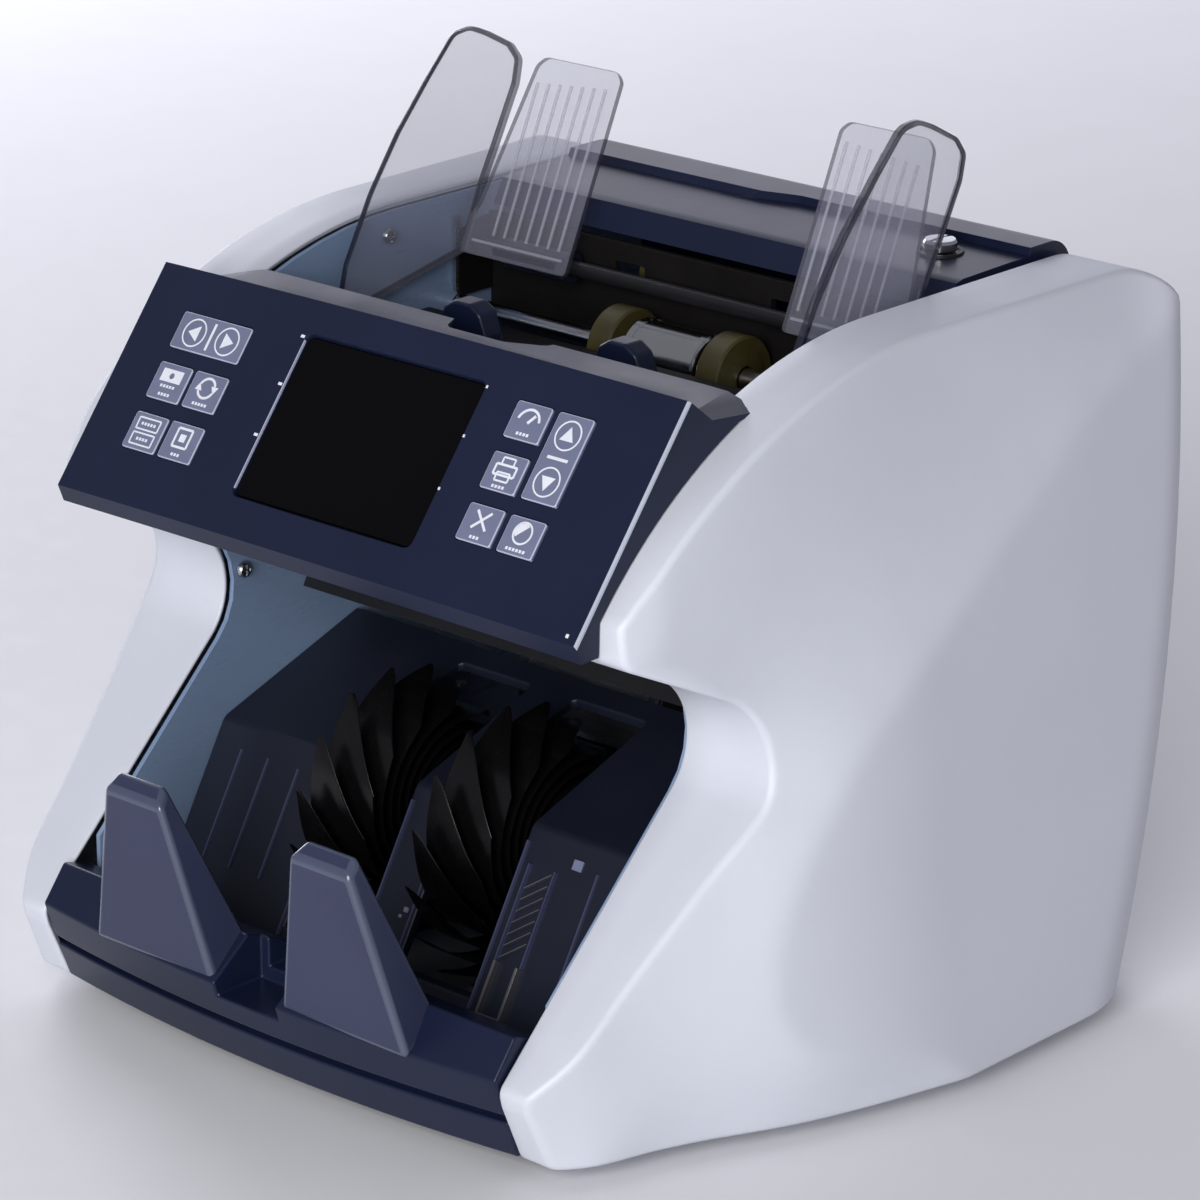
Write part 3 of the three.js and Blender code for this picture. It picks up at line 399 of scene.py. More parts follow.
def cover_half_width(y, z):
    rear = REAR_HALF - SIDE_TAPER * z - FRONT_FALL[0] * (min(0, y) / FRONT_FALL[1]) ** 2
    front = flare_width(y, z)
    soft = min(front, rear) - CREASE * math.log1p(math.exp(-abs(front - rear) / CREASE))
    corner = CORNER_R - SIDE_TAPER * z
    past = min(corner, max(0, y - (back_face(z) - corner)))
    return soft - (corner - math.sqrt(corner ** 2 - past ** 2))


def cover_profile(detail=3):
    """Side view (y, z) of a cover, from the bottom of its back over the top to its toe."""
    lip, slope = (math.radians(a) for a in THROAT_ANGLES)
    ty, tz, tr = THROAT

    def lip_z(y):
        return tz + (tr - (y - ty) * math.cos(lip)) / math.sin(lip)

    def slope_z(y):
        return tz + (tr - (y - ty) * math.cos(slope)) / math.sin(slope)
    lean = (TOE_Y - NOSE[0]) / NOSE[1]
    points = [(back_face(z), z) for z in np.linspace(0, BACK_TOP[1], 12 * detail)]
    points += arc(BACK_TOP[0] - REAR_R, TOP - REAR_R, REAR_R, 0, 90, 6 * detail)[1:]
    points += [(y, TOP) for y in np.linspace(BACK_TOP[0] - REAR_R, ARC[0], 4 * detail)[1:-1]]
    brow_angle = 180 - math.degrees(math.asin((BROW_TOP - ARC[1]) / ARC[2]))
    points += arc(ARC[0], ARC[1], ARC[2], 90, brow_angle, 12 * detail)
    brow = fillet([points[-1], (BROW_Y, BROW_TOP - 3), (BROW_Y, lip_z(BROW_Y)),
                   (BROW_Y + 16, lip_z(BROW_Y + 16))], [0, 5, 5, 0], 6)
    points += brow[1:-1]
    points += arc(ty, tz, tr, THROAT_ANGLES[0], THROAT_ANGLES[1], 9 * detail)
    top = (NOSE[0] + 1, slope_z(NOSE[0] + 1))
    run = points[-1]
    points += [(run[0] + (top[0] - run[0]) * t, run[1] + (top[1] - run[1]) * t)
               for t in np.linspace(0, 1, 8 * detail)[1:-1]]
    nose = fillet([points[-1], (NOSE[0], slope_z(NOSE[0])), (NOSE[0] + lean * 3, NOSE[1] - 5), (TOE_Y, 0),
                   (TOE_Y + 8, 0)], [0, 4.5, 9, 4.2, 0], 6)
    points += nose[1:-1]
    bottom = points[-1]
    points += [(y, 0) for y in np.linspace(bottom[0], back_face(0), 20 * detail)[1:-1]]
    cleaned = []
    for p in points:
        if not cleaned or math.dist(p, cleaned[-1]) > 0.4:
            cleaned.append(tuple(map(float, p)))
    return cleaned


def inset(points, distance):
    """The closed outline moved inwards by distance."""
    area = sum(a[0] * b[1] - b[0] * a[1] for a, b in zip(points, points[1:] + points[:1]))
    side = 1 if area > 0 else -1
    out = []
    for i, p in enumerate(points):
        a, b = Vector(p) - Vector(points[i - 1]), Vector(points[(i + 1) % len(points)]) - Vector(p)
        na, nb = Vector((-a.y, a.x)).normalized(), Vector((-b.y, b.x)).normalized()
        n = na + nb
        n = n / max(0.35, n.length_squared / 2)
        out.append((p[0] + side * n.x * distance, p[1] + side * n.y * distance))
    return out


def inside(points, y, z):
    p, q = np.array(points), np.roll(np.array(points), -1, 0)
    crosses = (p[:, 1] > z) != (q[:, 1] > z)
    with np.errstate(divide="ignore", invalid="ignore"):
        at = (q[:, 0] - p[:, 0]) * (z - p[:, 1]) / (q[:, 1] - p[:, 1]) + p[:, 0]
    return bool(np.sum(crosses & (y < at)) % 2)


def cover_shell():
    profile = cover_profile()
    bm = bmesh.new()
    rows = []
    for x, depth in ((BAY, 0.9), (BAY + 0.25, 0.25), (BAY + 0.9, 0)):
        rows.append([(x, y, z) for y, z in inset(profile, depth)])
    for share in (0.35, 0.7):
        rows.append([(BAY + 0.9 + share * (cover_half_width(y, z) - RIDGE_R - BAY - 0.9), y, z)
                     for y, z in profile])
    for k in range(7):
        angle = math.pi / 2 * k / 6
        ring = inset(profile, RIDGE_R * (1 - math.cos(angle)))
        rows.append([(cover_half_width(y, z) - RIDGE_R * (1 - math.sin(angle)), y, z) for y, z in ring])
    verts = [[bm.verts.new(p) for p in row] for row in rows]
    for row, following in zip(verts, verts[1:]):
        for i in range(len(row)):
            j = (i + 1) % len(row)
            bm.faces.new((row[i], row[j], following[j], following[i]))
    edge = [(p[1], p[2]) for p in rows[-1]]
    clear = inset(edge, 1.6)
    step = 3.0
    grid = [(y, z) for y in np.arange(-132, 142, step) for z in np.arange(2, TOP, step)
            if inside(clear, y, z)]
    points = [Vector(p) for p in edge + grid]
    loops = [(i, (i + 1) % len(edge)) for i in range(len(edge))]
    out_verts, _, out_faces, origin, _, _ = delaunay_2d_cdt(points, loops, [], 1, 1e-5)
    found = []
    for co, source in zip(out_verts, origin):
        ring_index = next((s for s in source if s < len(edge)), None)
        if ring_index is not None:
            found.append(verts[-1][ring_index])
        else:
            found.append(bm.verts.new((cover_half_width(co.x, co.y), co.x, co.y)))
    for f in out_faces:
        corners = [found[i] for i in f]
        middle = sum((c.co for c in corners), Vector()) / len(corners)
        if len(set(corners)) > 2 and inside(edge, middle.y, middle.z):
            bm.faces.new(corners)
    bmesh.ops.recalc_face_normals(bm, faces=bm.faces)
    if sum(f.normal.x * f.calc_area() for f in bm.faces) < 0:
        bmesh.ops.reverse_faces(bm, faces=bm.faces)
    return bm


shell = cover_shell()
for side, bm in (("left", mirrored(shell)), ("right", shell)):
    cover = piece(f"{side}_cover_shell", bm, WHITE, replaces=f"{side}_side_cover",
                  sharp=50, weighted=False)
    wall = cover.modifiers.new("wall", "SOLIDIFY")
    wall.thickness = COVER_WALL / 1000
    wall.offset = -1


# ---------- base and stop paddles ----------
def base_bow(x, share=1.0):
    return -7.1 * share * (1 - (x / 93.3) ** 2)


def base_shell():
    # side view (y, z) and how much of the front's curve each corner follows
    section = [(-108, 0.6, 0), (-108, 31.5, 0), (-112, 34.5, 0), (-121.2, 37.6, 0.1),
               (-129.6, 26.8, 0.93), (-125.6, 15.0, 1), (-121.6, 14.6, 1), (-121.6, 12.9, 1),
               (-124.6, 12.4, 1), (-120.4, 0.6, 1)]
    rings = []
    for x in np.linspace(-93.2, 93.2, 25):
        rings.append([(x, y + base_bow(x, share), z) for y, z, share in section])
    bm = boolean(loft(rings), block(-12.5, 12.5, -150, -117, 22.5, 60))
    bm = boolean(bm, block(-9, 9, -119, -100, 27, 60))
    return soften(bm, 0.9, 3, 24)


piece("base_moulding", base_shell(), NAVY, replaces="base_front")


def paddle_slab():
    # (y, z, inner x, outer x) of its four corners, seen from the side
    corners = [(-134.6, 25.6, 13.6, 64.6), (-142.3, 79.3, 26, 50), (-136.8, 84, 29, 48.7),
               (-118.5, 33, 14.3, 61)]
    rings = [[(corner[2 + end], corner[0], corner[1]) for corner in corners] for end in (0, 1)]
    # The rounding gets the second material, the paddles' painted highlight.
    return soften(loft(rings), 2.0, 4, index=1)


paddle = paddle_slab()
for side, bm in (("left", mirrored(paddle)), ("right", paddle)):
    piece(f"{side}_paddle", bm, [SLATE, SLATE_PAINTED_HIGHLIGHT], replaces=f"{side}_stop_paddle")

# ---------- control panel, in its own sloping frame: x across, y up the face, z out of it ----------
COS, SIN = math.cos(PANEL_TILT), math.sin(PANEL_TILT)
PANEL = DRAWING @ Matrix.Translation((0, *PANEL_TOP)) @ Matrix.Rotation(PANEL_TILT, 4, "X")


def on_panel(y, z):
    dy, dz = y - PANEL_TOP[0], z - PANEL_TOP[1]
    return dy * COS + dz * SIN, -dy * SIN + dz * COS


def panel_bow(x):
    return PANEL_BOW * (1 - (x / PANEL_HALF) ** 2)


# each key's centre (x, y), width and height on the panel's face
KEYS = {
    "key_previous_next": (-71.1, -19.2, 28.8, 11.7), "key_batch": (-78.8, -35.6, 13.6, 11.7),
    "key_currency": (-63.2, -35.6, 13.6, 11.7), "key_report": (-78.8, -52, 13.6, 11.7),
    "key_mode": (-63.2, -52, 13.6, 11.7), "key_speed": (55.9, -18.3, 13.2, 11.3),
    "key_up_down": (71.1, -26, 13.2, 26.7), "key_print": (55.9, -34, 13.2, 11.3),
    "key_clear": (55.9, -49.9, 13.2, 11.3), "key_start_stop": (71.1, -49.9, 13.2, 11.3)}
SCREEN_BOX = (-35.2, 35.2, -61.7, -10.9)


def rounded_box(x0, x1, y0, y1, radius, steps=4):
    return fillet([(x0, y0), (x1, y0), (x1, y1), (x0, y1)], radius, steps)


def housing_shell():
    rear = [on_panel(y, z) for y, z in arc(ARC[0], ARC[1], ARC[2] + 0.6, 140.4, 111.5, 9)]
    stations = [-104, -101, -97, -92, *np.linspace(-84, 84, 17), 92, 97, 101, 104]
    rings = []
    for x in stations:
        drop = 3.4 * max(0, (abs(x) - 91) / 13) ** 1.2
        top_rear = (rear[-1][0] + 1.2 - drop * 0.9, rear[-1][1] - drop * 0.5)
        ring = [(3.0 - PANEL_LENGTH, panel_bow(x)), (0, panel_bow(x)), (2.2 - drop * 0.7, -12)]
        ring += [top_rear] + rear[::-1][1:]
        ring += [on_panel(BROW_Y - 0.6, 145.4), (-PANEL_LENGTH, panel_bow(x) - 5.0)]
        rings.append([(x, y, z) for y, z in ring])
    bm = loft(rings)
    notch = fillet([(-14, 0), (-9, -9.5), (14, -9.5), (26, -4), (26, 12), (-14, 12)], [3, 5, 7, 3, 0, 0], 4)
    tool = prism([(x, y - 31.5) for x, y in notch], "z", 190, 225)
    moved(tool, PANEL.inverted() @ DRAWING)
    bm = boolean(bm, tool)

    def right_of_face(edge):
        (a, b) = (v.co for v in edge.verts)
        return min(a.z, b.z) > -1.5 and min(a.x, b.x) > PANEL_HALF - 0.5

    # The rounding on the face's right end gets the painted highlight material (index 1); the other roundings
    # stay navy (index 0).
    bm = soften(bm, 0.9, 3, 30, right_of_face, 1)
    bm = soften(bm, 1.2, 3, 30, lambda e: not right_of_face(e), 0)
    for x, y, w, h in KEYS.values():
        opening = rounded_box(x - w / 2 - 0.3, x + w / 2 + 0.3, y - h / 2 - 0.3, y + h / 2 + 0.3, 1.3)
        bm = boolean(bm, prism(opening, "z", -6, 6))
    x0, x1, y0, y1 = SCREEN_BOX
    well = loft([[(x, y, z) for x, y in rounded_box(x0 - g, x1 + g, y0 - g, y1 + g, 2.2 + g)]
                 for g, z in ((0.3, -4), (0.3, 1.2), (1.6, 3.4))])
    return boolean(bm, well)


piece("panel_moulding", housing_shell(), [NAVY, NAVY_PAINTED_HIGHLIGHT], replaces="control_panel_housing",
      place=PANEL, sharp=32)


def screen_shell():
    x0, x1, y0, y1 = SCREEN_BOX
    slab = prism(rounded_box(x0, x1, y0, y1, 2.2, 6), "z", -2.9, 1.1)
    return soften(slab, 0.35, 2)


piece("screen_window", screen_shell(), SCREEN, replaces="display_window", place=PANEL)


def ticks():
    """Small bright marks beside the display, and one at the panel's lower right corner."""
    marks = []
    for x, reach in ((-36.1, 1.5), (36.1, 0.7)):
        for y in (-11.6, -27, -43.4):
            marks.append(soften(block(min(x, x * (1 + reach / 36)), max(x, x * (1 + reach / 36)),
                                      y - 0.45, y + 0.45, 1.6, panel_bow(x) + 0.12), 0.1))
    marks.append(soften(block(99.2, 100.2, -72.6, -71.4, -0.5, panel_bow(99.7) + 0.25), 0.2))
    return merged(*marks)


def window_highlight_bead():
    """Painted highlight: a pale bead down the left-hand border of the display window, standing in for light
    caught on the window recess's bevel.
    """
    return soften(block(-35.95, -35.55, -60.2, -12.4, 0.6, panel_bow(35.7) - 0.15), 0.12)


# ---------- keys and their printed signs ----------
def flat(outline, z0, thickness=0.07):
    return prism(outline, "z", z0, z0 + thickness)


def ring_sign(cx, cy, outer, inner, z, start=0, end=360, steps=28):
    full = end - start >= 360
    angles = [math.radians(start + (end - start) * i / steps) for i in range(steps + (0 if full else 1))]
    rings = []
    for a in angles:
        u, v = math.cos(a), math.sin(a)
        rings.append([(cx + inner * u, cy + inner * v, z), (cx + outer * u, cy + outer * v, z),
                      (cx + outer * u, cy + outer * v, z + 0.07), (cx + inner * u, cy + inner * v, z + 0.07)])
    return loft(rings, caps=not full, closed=full)


def stroke(p, q, width, z):
    a, b = Vector(p), Vector(q)
    n = Vector((-(b - a).y, (b - a).x)).normalized() * width / 2
    return flat([tuple(a - n), tuple(b - n), tuple(b + n), tuple(a + n)], z)


def frame_sign(x0, x1, y0, y1, width, z):
    bars = [stroke((x0, y0), (x1, y0), width, z), stroke((x0, y1), (x1, y1), width, z + 0.001)]
    bars += [stroke((x, y0), (x, y1), width, z + 0.002) for x in (x0, x1)]
    return merged(*bars)


def label(cx, cy, z, dashes=4):
    """A row of dashes where the real key has a word."""
    middles = [cx + (i - (dashes - 1) / 2) * 1.25 for i in range(dashes)]
    return [stroke((x - 0.42, cy), (x + 0.42, cy), 0.9, z) for x in middles]


def sign(name, x, y, z):
    """The parts of a key's printed sign, centred on (x, y) at height z."""
    if name == "key_previous_next":
        left, right = (x - 6.9, y), (x + 6.9, y)
        return [ring_sign(*left, 4.6, 4.1, z), ring_sign(*right, 4.6, 4.1, z),
                stroke((x, y - 4.3), (x, y + 4.3), 0.9, z),
                flat([(left[0] + 1.7, y - 2.5), (left[0] + 1.7, y + 2.5), (left[0] - 2.6, y)][::-1], z),
                flat([(right[0] - 1.7, y - 2.5), (right[0] + 2.6, y), (right[0] - 1.7, y + 2.5)], z)]
    if name == "key_up_down":
        up, down = y + 7.1, y - 7.1
        return [ring_sign(x, up, 4.6, 4.1, z), ring_sign(x, down, 4.6, 4.1, z),
                stroke((x - 3.8, y), (x + 3.8, y), 0.9, z),
                flat([(x - 2.5, up - 1.6), (x + 2.5, up - 1.6), (x, up + 2.7)], z),
                flat([(x - 2.5, down + 1.6), (x, down - 2.7), (x + 2.5, down + 1.6)], z)]
    if name == "key_batch":
        note = boolean(flat([(x - 4.2, y), (x + 4.2, y), (x + 4.2, y + 4), (x - 4.2, y + 4)], z, 0.1),
                       prism(arc(x, y + 2, 1, 0, 330, 11), "z", z - 1, z + 1))
        return [note, *label(x, y - 1.4, z, 5), *label(x, y - 4, z, 4)]
    if name == "key_currency":
        return [ring_sign(x, y + 1.2, 3.5, 2.7, z, 20, 160), ring_sign(x, y + 1.2, 3.5, 2.7, z, 200, 340),
                flat([(x + 1.6, y + 2.2), (x + 4.4, y + 2.2), (x + 3.2, y - 0.2)][::-1], z + 0.003),
                flat([(x - 1.6, y + 0.2), (x - 4.4, y + 0.2), (x - 3.2, y + 2.6)][::-1], z + 0.003),
                *label(x, y - 4, z, 5)]
    if name == "key_report":
        parts = [frame_sign(x - 4.4, x + 4.4, y + low, y + low + 3.6, 0.5, z) for low in (-4.2, 0.6)]
        return parts + label(x, y + 2.4, z, 5) + label(x, y - 2.4, z, 4)
    if name == "key_mode":
        return [frame_sign(x - 2.9, x + 2.9, y - 1.6, y + 4.2, 0.75, z),
                flat([(x - 1.2, y + 0.1), (x + 1.2, y + 0.1), (x + 1.2, y + 2.5), (x - 1.2, y + 2.5)], z),
                *label(x, y - 4, z, 3)]
    if name == "key_speed":
        return [ring_sign(x, y - 0.2, 4.3, 3.5, z, 10, 170),
                stroke((x, y - 0.4), (x + 1.9, y + 2.2), 0.9, z + 0.003), *label(x, y - 3.8, z, 4)]
    if name == "key_print":
        return [frame_sign(x - 2.2, x + 2.2, y + 2.2, y + 4.4, 0.55, z),
                frame_sign(x - 3.8, x + 3.8, y - 0.9, y + 2.2, 0.7, z),
                frame_sign(x - 2.4, x + 2.4, y - 2.6, y - 0.1, 0.55, z + 0.003), *label(x, y - 4.3, z, 4)]
    if name == "key_clear":
        return [stroke((x - 2.7, y - 1.5), (x + 2.7, y + 3.9), 0.8, z),
                stroke((x - 2.7, y + 3.9), (x + 2.7, y - 1.5), 0.8, z + 0.003), *label(x, y - 4, z, 3)]
    disc = [ring_sign(x, y + 1.1, 3.5, 2.9, z)]
    disc.append(flat(arc(x - 0.35, y + 1.5, 2.6, 45, 225, 14), z))
    return disc + label(x, y - 4, z, 6)


for name, (x, y, w, h) in KEYS.items():
    top = panel_bow(x) + 0.45
    cap = prism(rounded_box(x - w / 2, x + w / 2, y - h / 2, y + h / 2, 1.0), "z", -3.3, top)
    # The keys' rounded borders get the second material, a painted highlight.
    piece(f"{name}_dome", soften(cap, 0.35, 3, index=1), [KEY, KEY_PAINTED_HIGHLIGHT], body=f"{name}_cap", replaces=name,
          place=PANEL)
    piece(f"{name}_sign", merged(*sign(name, x, y, top + 0.01)), PRINT, body=f"{name}_cap",
          place=PANEL, weighted=False)
piece("panel_ticks", ticks(), PRINT, place=PANEL)
piece("window_painted_highlight", window_highlight_bead(), KEY_PAINTED_HIGHLIGHT, place=PANEL)


# ---------- hopper guides ----------
WING_FOOT = 192.6
LEAN = math.radians(24.5)
WING = DRAWING @ Matrix.Translation((0, 48, WING_FOOT)) @ Matrix.Rotation(math.pi / 2 - LEAN, 4, "X")


def edge_faces(bm, direction, limit=0.6, index=1):
    """Gives the faces round a plate's rim, those not facing along direction, the second material."""
    for f in bm.faces:
        if abs(f.normal.dot(direction)) < limit:
            f.material_index = index
    return bm


def guide_parts():
    """The right-hand guide's side wing, its rim, back wing, ribs, and the sleeve and web on the rod."""
    side_outline = fillet([(-8, 182), (49, 193.3), (57, 212), (63.5, 224), (73, 242), (74.7, 250),
                           (70.5, 255.5), (60, 261), (52.7, 264), (45, 263.2), (33.3, 251.2), (20, 236.5),
                           (7.7, 219.5), (-3.5, 199)], [2, 3, 9, 20, 7, 4, 5, 12, 9, 8, 30, 40, 40, 8], 5)
    side = edge_faces(soften(prism(side_outline, "x", 86.8, 88.6), 0.6, 2), Vector((1, 0, 0)))
    inner = inset(side_outline, 1.5)
    rim = loft([[(x, y, z) for y, z in outline] for x, outline in
                ((88.6, side_outline), (89.2, inset(side_outline, 0.2)), (89.2, inner), (88.6, inner))],
               caps=False, closed=True)
    for f in rim.faces:
        f.material_index = 1
    back_outline = fillet([(43.5, 0), (88, 0), (88, 12), (86, 16), (79, 62), (76, 65), (46, 65), (43.5, 62)],
                          [2, 1, 2, 8, 5, 4, 4, 3], 4)
    back = moved(edge_faces(soften(prism(back_outline, "z", 0, 2.0), 0.6, 2), Vector((0, 0, 1))),
                 DRAWING.inverted() @ WING)
    ribs = []
    for i in range(7):
        x = 48 + i * 4.6
        ribs.append(moved(soften(block(x - 0.45, x + 0.45, 7, 59 - 0.4 * i, 2.0, 2.9), 0.25, 2),
                          DRAWING.inverted() @ WING))
    band = moved(soften(block(46, 84, 4, 5, 1.9, 2.5), 0.2), DRAWING.inverted() @ WING)
    sleeve = boolean(merged(prism(arc(*GUIDE_ROD, 5, 0, 348, 29), "x", 50, 76)),
                     prism(arc(*GUIDE_ROD, 2.9, 0, 340, 17), "x", 45, 80))
    web = block(50, 76, 48.6, 52.2, 192.9, 196)
    for bm in (sleeve, web):
        for f in bm.faces:
            f.material_index = 1
    return side, rim, back, [*ribs, band], sleeve, web


side_wing, side_rim, back_wing, wing_ribs, sleeve, web = guide_parts()
clear_parts = merged(side_wing, side_rim, back_wing, sleeve, web)
rib_parts = merged(*wing_ribs)
for side in ("left", "right"):
    last = side == "right"
    piece(f"{side}_guide_wings", clear_parts if last else mirrored(clear_parts), [SMOKE, SMOKE_EDGE],
          body=f"{side}_guide", replaces=f"{side}_hopper_guide")
    piece(f"{side}_guide_ribs", rib_parts if last else mirrored(rib_parts), RIB, body=f"{side}_guide")


# ---------- stacker: tray, wheels and shaft ----------
TRAY_TOP = [(-107.2, 11.5), (-86, 14.5), (-57.5, 63.5), (-53, 67.7), (2, 86.5)]
TRAY_UNDER = [(2, 83.3), (-51.6, 65), (-54.8, 61.4), (-84, 11.4), (-107.2, 8.4)]


def tray_shell():
    top = fillet([TRAY_TOP[0], TRAY_TOP[1], (-55.9, 66.4), TRAY_TOP[4]], [0, 4, 5, 0], 5)
    bm = prism(top + TRAY_UNDER, "x", -PLATE_HALF, PLATE_HALF)
    for x in (-23.5, 23.5):
        slot = fillet([(x - 15, -92), (x + 15, -92), (x + 15, -6), (x - 15, -6)], [0, 0, 2.5, 2.5], 4)
        bm = boolean(bm, prism(slot, "z", 20, 120))
    return soften(bm, 0.7, 2, 24)


def slope_strip(x, low, high, half=0.5, proud=0.7, lean=0.0):
    """A thin rib on the tray's slope, from share low to share high of the way up; lean tilts it sideways."""
    foot, head = Vector(TRAY_TOP[1]), Vector(TRAY_TOP[2])
    along = (head - foot)
    normal = Vector((-along.y, along.x)).normalized()
    a, b = foot + along * low, foot + along * high
    ring = []
    for (p, dx) in ((a, 0), (b, lean)):
        ring.append([(x + dx - half, *(p - normal * 0.4)), (x + dx + half, *(p - normal * 0.4)),
                     (x + dx + half * 0.5, *(p + normal * proud)),
                     (x + dx - half * 0.5, *(p + normal * proud))])
    return loft(ring)


def tray_details():
    parts = [slope_strip(x, 0.30, 0.92) for x in (-79, -67.5, -54.5, 68, 79)]
    parts += [slope_strip(x, 0.06, 0.97, 0.6, 0.9) for x in (-39.6, -7.3, 7.3, 39.6)]
    parts += [slope_strip(x, 0.34, 0.86, 0.4, 1.4) for x in (43.4, 53.4)]
    return merged(*parts)


piece("tray_moulding", tray_shell(), TRAY, replaces="stacker_tray")
piece("tray_ribs", tray_details(), SLATE, sharp=25)
hatch = [slope_strip(44.4, 0.36 + 0.062 * i, 0.47 + 0.062 * i, 0.5, 1.1, 8.0) for i in range(7)]
piece("tray_hatch", merged(*hatch), GUNMETAL, sharp=25)


def slope_point(share, out=0.0):
    foot, head = Vector(TRAY_TOP[1]), Vector(TRAY_TOP[2])
    along = head - foot
    return foot + along * share + Vector((-along.y, along.x)).normalized() * out


def tray_channel():
    """Bright U-shaped sensor channel at the foot of the slanted ribs."""
    parts = []
    for x0, x1, low, high in ((43.6, 44.6, 0.04, 0.34), (52.2, 53.2, 0.04, 0.34), (43.6, 53.2, 0.02, 0.06)):
        ring = []
        for share in (low, high):
            under, over = slope_point(share, -0.2), slope_point(share, 2.2)
            ring.append([(x0, *under), (x1, *under), (x1, *over), (x0, *over)])
        parts.append(soften(loft(ring), 0.2))
    return merged(*parts)


def tray_sensors():
    """Lens pads on the tray: two on the middle land and one on the right-hand land."""
    parts = []
    half = 0.016
    for x, share, size in ((4.8, 0.42, 0.9), (3.4, 0.38, 0.6), (60, 0.93, 1.8)):
        low, high = share - size * half, share + size * half
        corners = [slope_point(low, -0.2), slope_point(high, -0.2)]
        corners += [slope_point(high, 0.8), slope_point(low, 0.8)]
        ring = [[(at, *p) for p in corners] for at in (x - size, x + size)]
        parts.append(soften(loft(ring), 0.3, 2))
    return merged(*parts)


piece("tray_channel", tray_channel(), GUNMETAL)
piece("tray_sensors", tray_sensors(), KEY)


def wheel_blades():
    """Thin spiral fingers; each ends in a slanted tip that runs out towards the left."""
    root, steps, swept, slant_from = 14, 24, 150, 0.66
    parts = []
    for i in range(BLADES):
        start = i * 360 / BLADES
        rings = []
        for k in range(steps + 1):
            share = k / steps
            radius = root + (WHEEL[2] - 0.3 - root) * share
            angle = math.radians(start + swept * (1 - share) ** 1.25)
            thick = 1.2 * (1 - 0.45 * share) / radius
            right = 10.8 - 20.4 * max(0, (share - slant_from) / (1 - slant_from))
            ring = []
            for x, a in ((-10.8, angle), (right, angle), (right, angle + thick), (-10.8, angle + thick)):
                ring.append((x, WHEEL[0] + radius * math.cos(a), WHEEL[1] + radius * math.sin(a)))
            rings.append(ring)
        parts.append(loft(rings))
    return parts


def stacker_wheel():
    hub = lathe([(4, -11), (12, -11), (15.5, -10), (15.5, 10), (12, 11), (4, 11)], "x", WHEEL[:2])
    rings = [lathe([(6, s * 11), (10.5, s * 11), (10.5, s * 11.35), (6, s * 11.35)], "x", WHEEL[:2])
             for s in (-1, 1)]
    return merged(hub, *rings, *wheel_blades())


wheel = stacker_wheel()
for side, x in (("left", -24), ("right", 24)):
    piece(f"{side}_finger_wheel", moved(wheel.copy(), Matrix.Translation((x, 0, 0))), FINGER,
          body="stacker_wheels", replaces=f"{side}_stacker_wheel", sharp=35)


# ---------- hopper ----------
def lid_shell():
    tail = arc(114, 206, 10.0, -15, 90, 12)
    section = [(64.8, 204.7), (113, 203.2), *tail, (100.6, 216.0), (99.3, 213.6), (72.4, 213.1),
               (69.2, 212.3)]
    bm = prism(section, "x", -90.8, 90.8)
    bm = boolean(bm, block(-87.5, 87.5, 70, 109, 190, 210.4))
    recess = fillet([(-24, 96), (92, 96), (92, 104.2), (2, 104.2), (-6, 102), (-14, 99.6)],
                    [0, 0, 0, 6, 6, 6])
    bm = boolean(bm, prism(recess, "z", 213.45, 225))
    return soften(bm, 0.8, 3, 26)


def knob_collar():
    """The dark ring that the knob stands in."""
    return lathe([(5.8, 213.3), (7.4, 213.3), (7.2, 214.1), (6.0, 214.1)], "z", KNOB, 40)


piece("lid_moulding", lid_shell(), NAVY, body="lid", replaces="rear_lid")
piece("knob_ring", knob_collar(), BLACK, body="lid")
knob = lathe([(0, 206.5), (2.1, 206.5), (2.1, 214), (5.0, 214.1), (5.15, 214.5), (5.15, 216.6), (4.6, 217.5),
              (2.2, 217.7), (0, 217.7)], "z", KNOB, 48)
knob = boolean(knob, block(KNOB[0] - 0.6, KNOB[0] + 0.6, 82, 98, 216.9, 220))
piece("knob_turned", soften(knob, 0.15, 2, 30), CHROME, body="gap_knob", replaces="feed_gap_knob")


def back_wall_shell():
    section = [(63.8, 160), (65.4, 160), (65.4, 202.6), (63, 202.6), (63, 189), (63.8, 189)]
    bm = prism(section, "x", -PLATE_HALF, PLATE_HALF)
    for x in (-31.5, 31.5):
        bm = boolean(bm, prism(rounded_box(x - 6, x + 6, 190, 196.5, 0.8), "y", 55, 80))
    return soften(bm, 0.4, 2)


piece("hopper_back_plate", back_wall_shell(), WARM_BLACK, replaces="hopper_back_wall")


def window_rollers():
    """The grooved rollers that show through the back wall's two windows."""
    parts = []
    for x in (-31.5, 31.5):
        parts.append(lathe([(1.5, x + 0.4), (4.4, x + 0.4), (5.0, x + 1.0), (5.0, x + 3.6), (4.2, x + 4.0),
                            (5.0, x + 4.4), (5.0, x + 5.4), (1.5, x + 5.6)], "x", WINDOW_ROLLER, 28))
    return merged(*parts)


piece("window_rollers", window_rollers(), OLIVE)


def cheek():
    """Black end cap beside the feed rollers, with the bright edge of the sheet in front of it."""
    return prism(fillet([(48.5, 178), (62.6, 178), (62.6, 202), (48.5, 199)], 0.8), "x", 90.2, 91.3)


right_cheek = cheek()
edge_strip = soften(block(90.0, 91.3, 46.6, 48.3, 180, 204), 0.3)
for side in ("left", "right"):
    last = side == "right"
    piece(f"{side}_hopper_cheek", right_cheek if last else mirrored(right_cheek), WARM_BLACK)
    piece(f"{side}_hopper_edge", edge_strip if last else mirrored(edge_strip), STEEL)


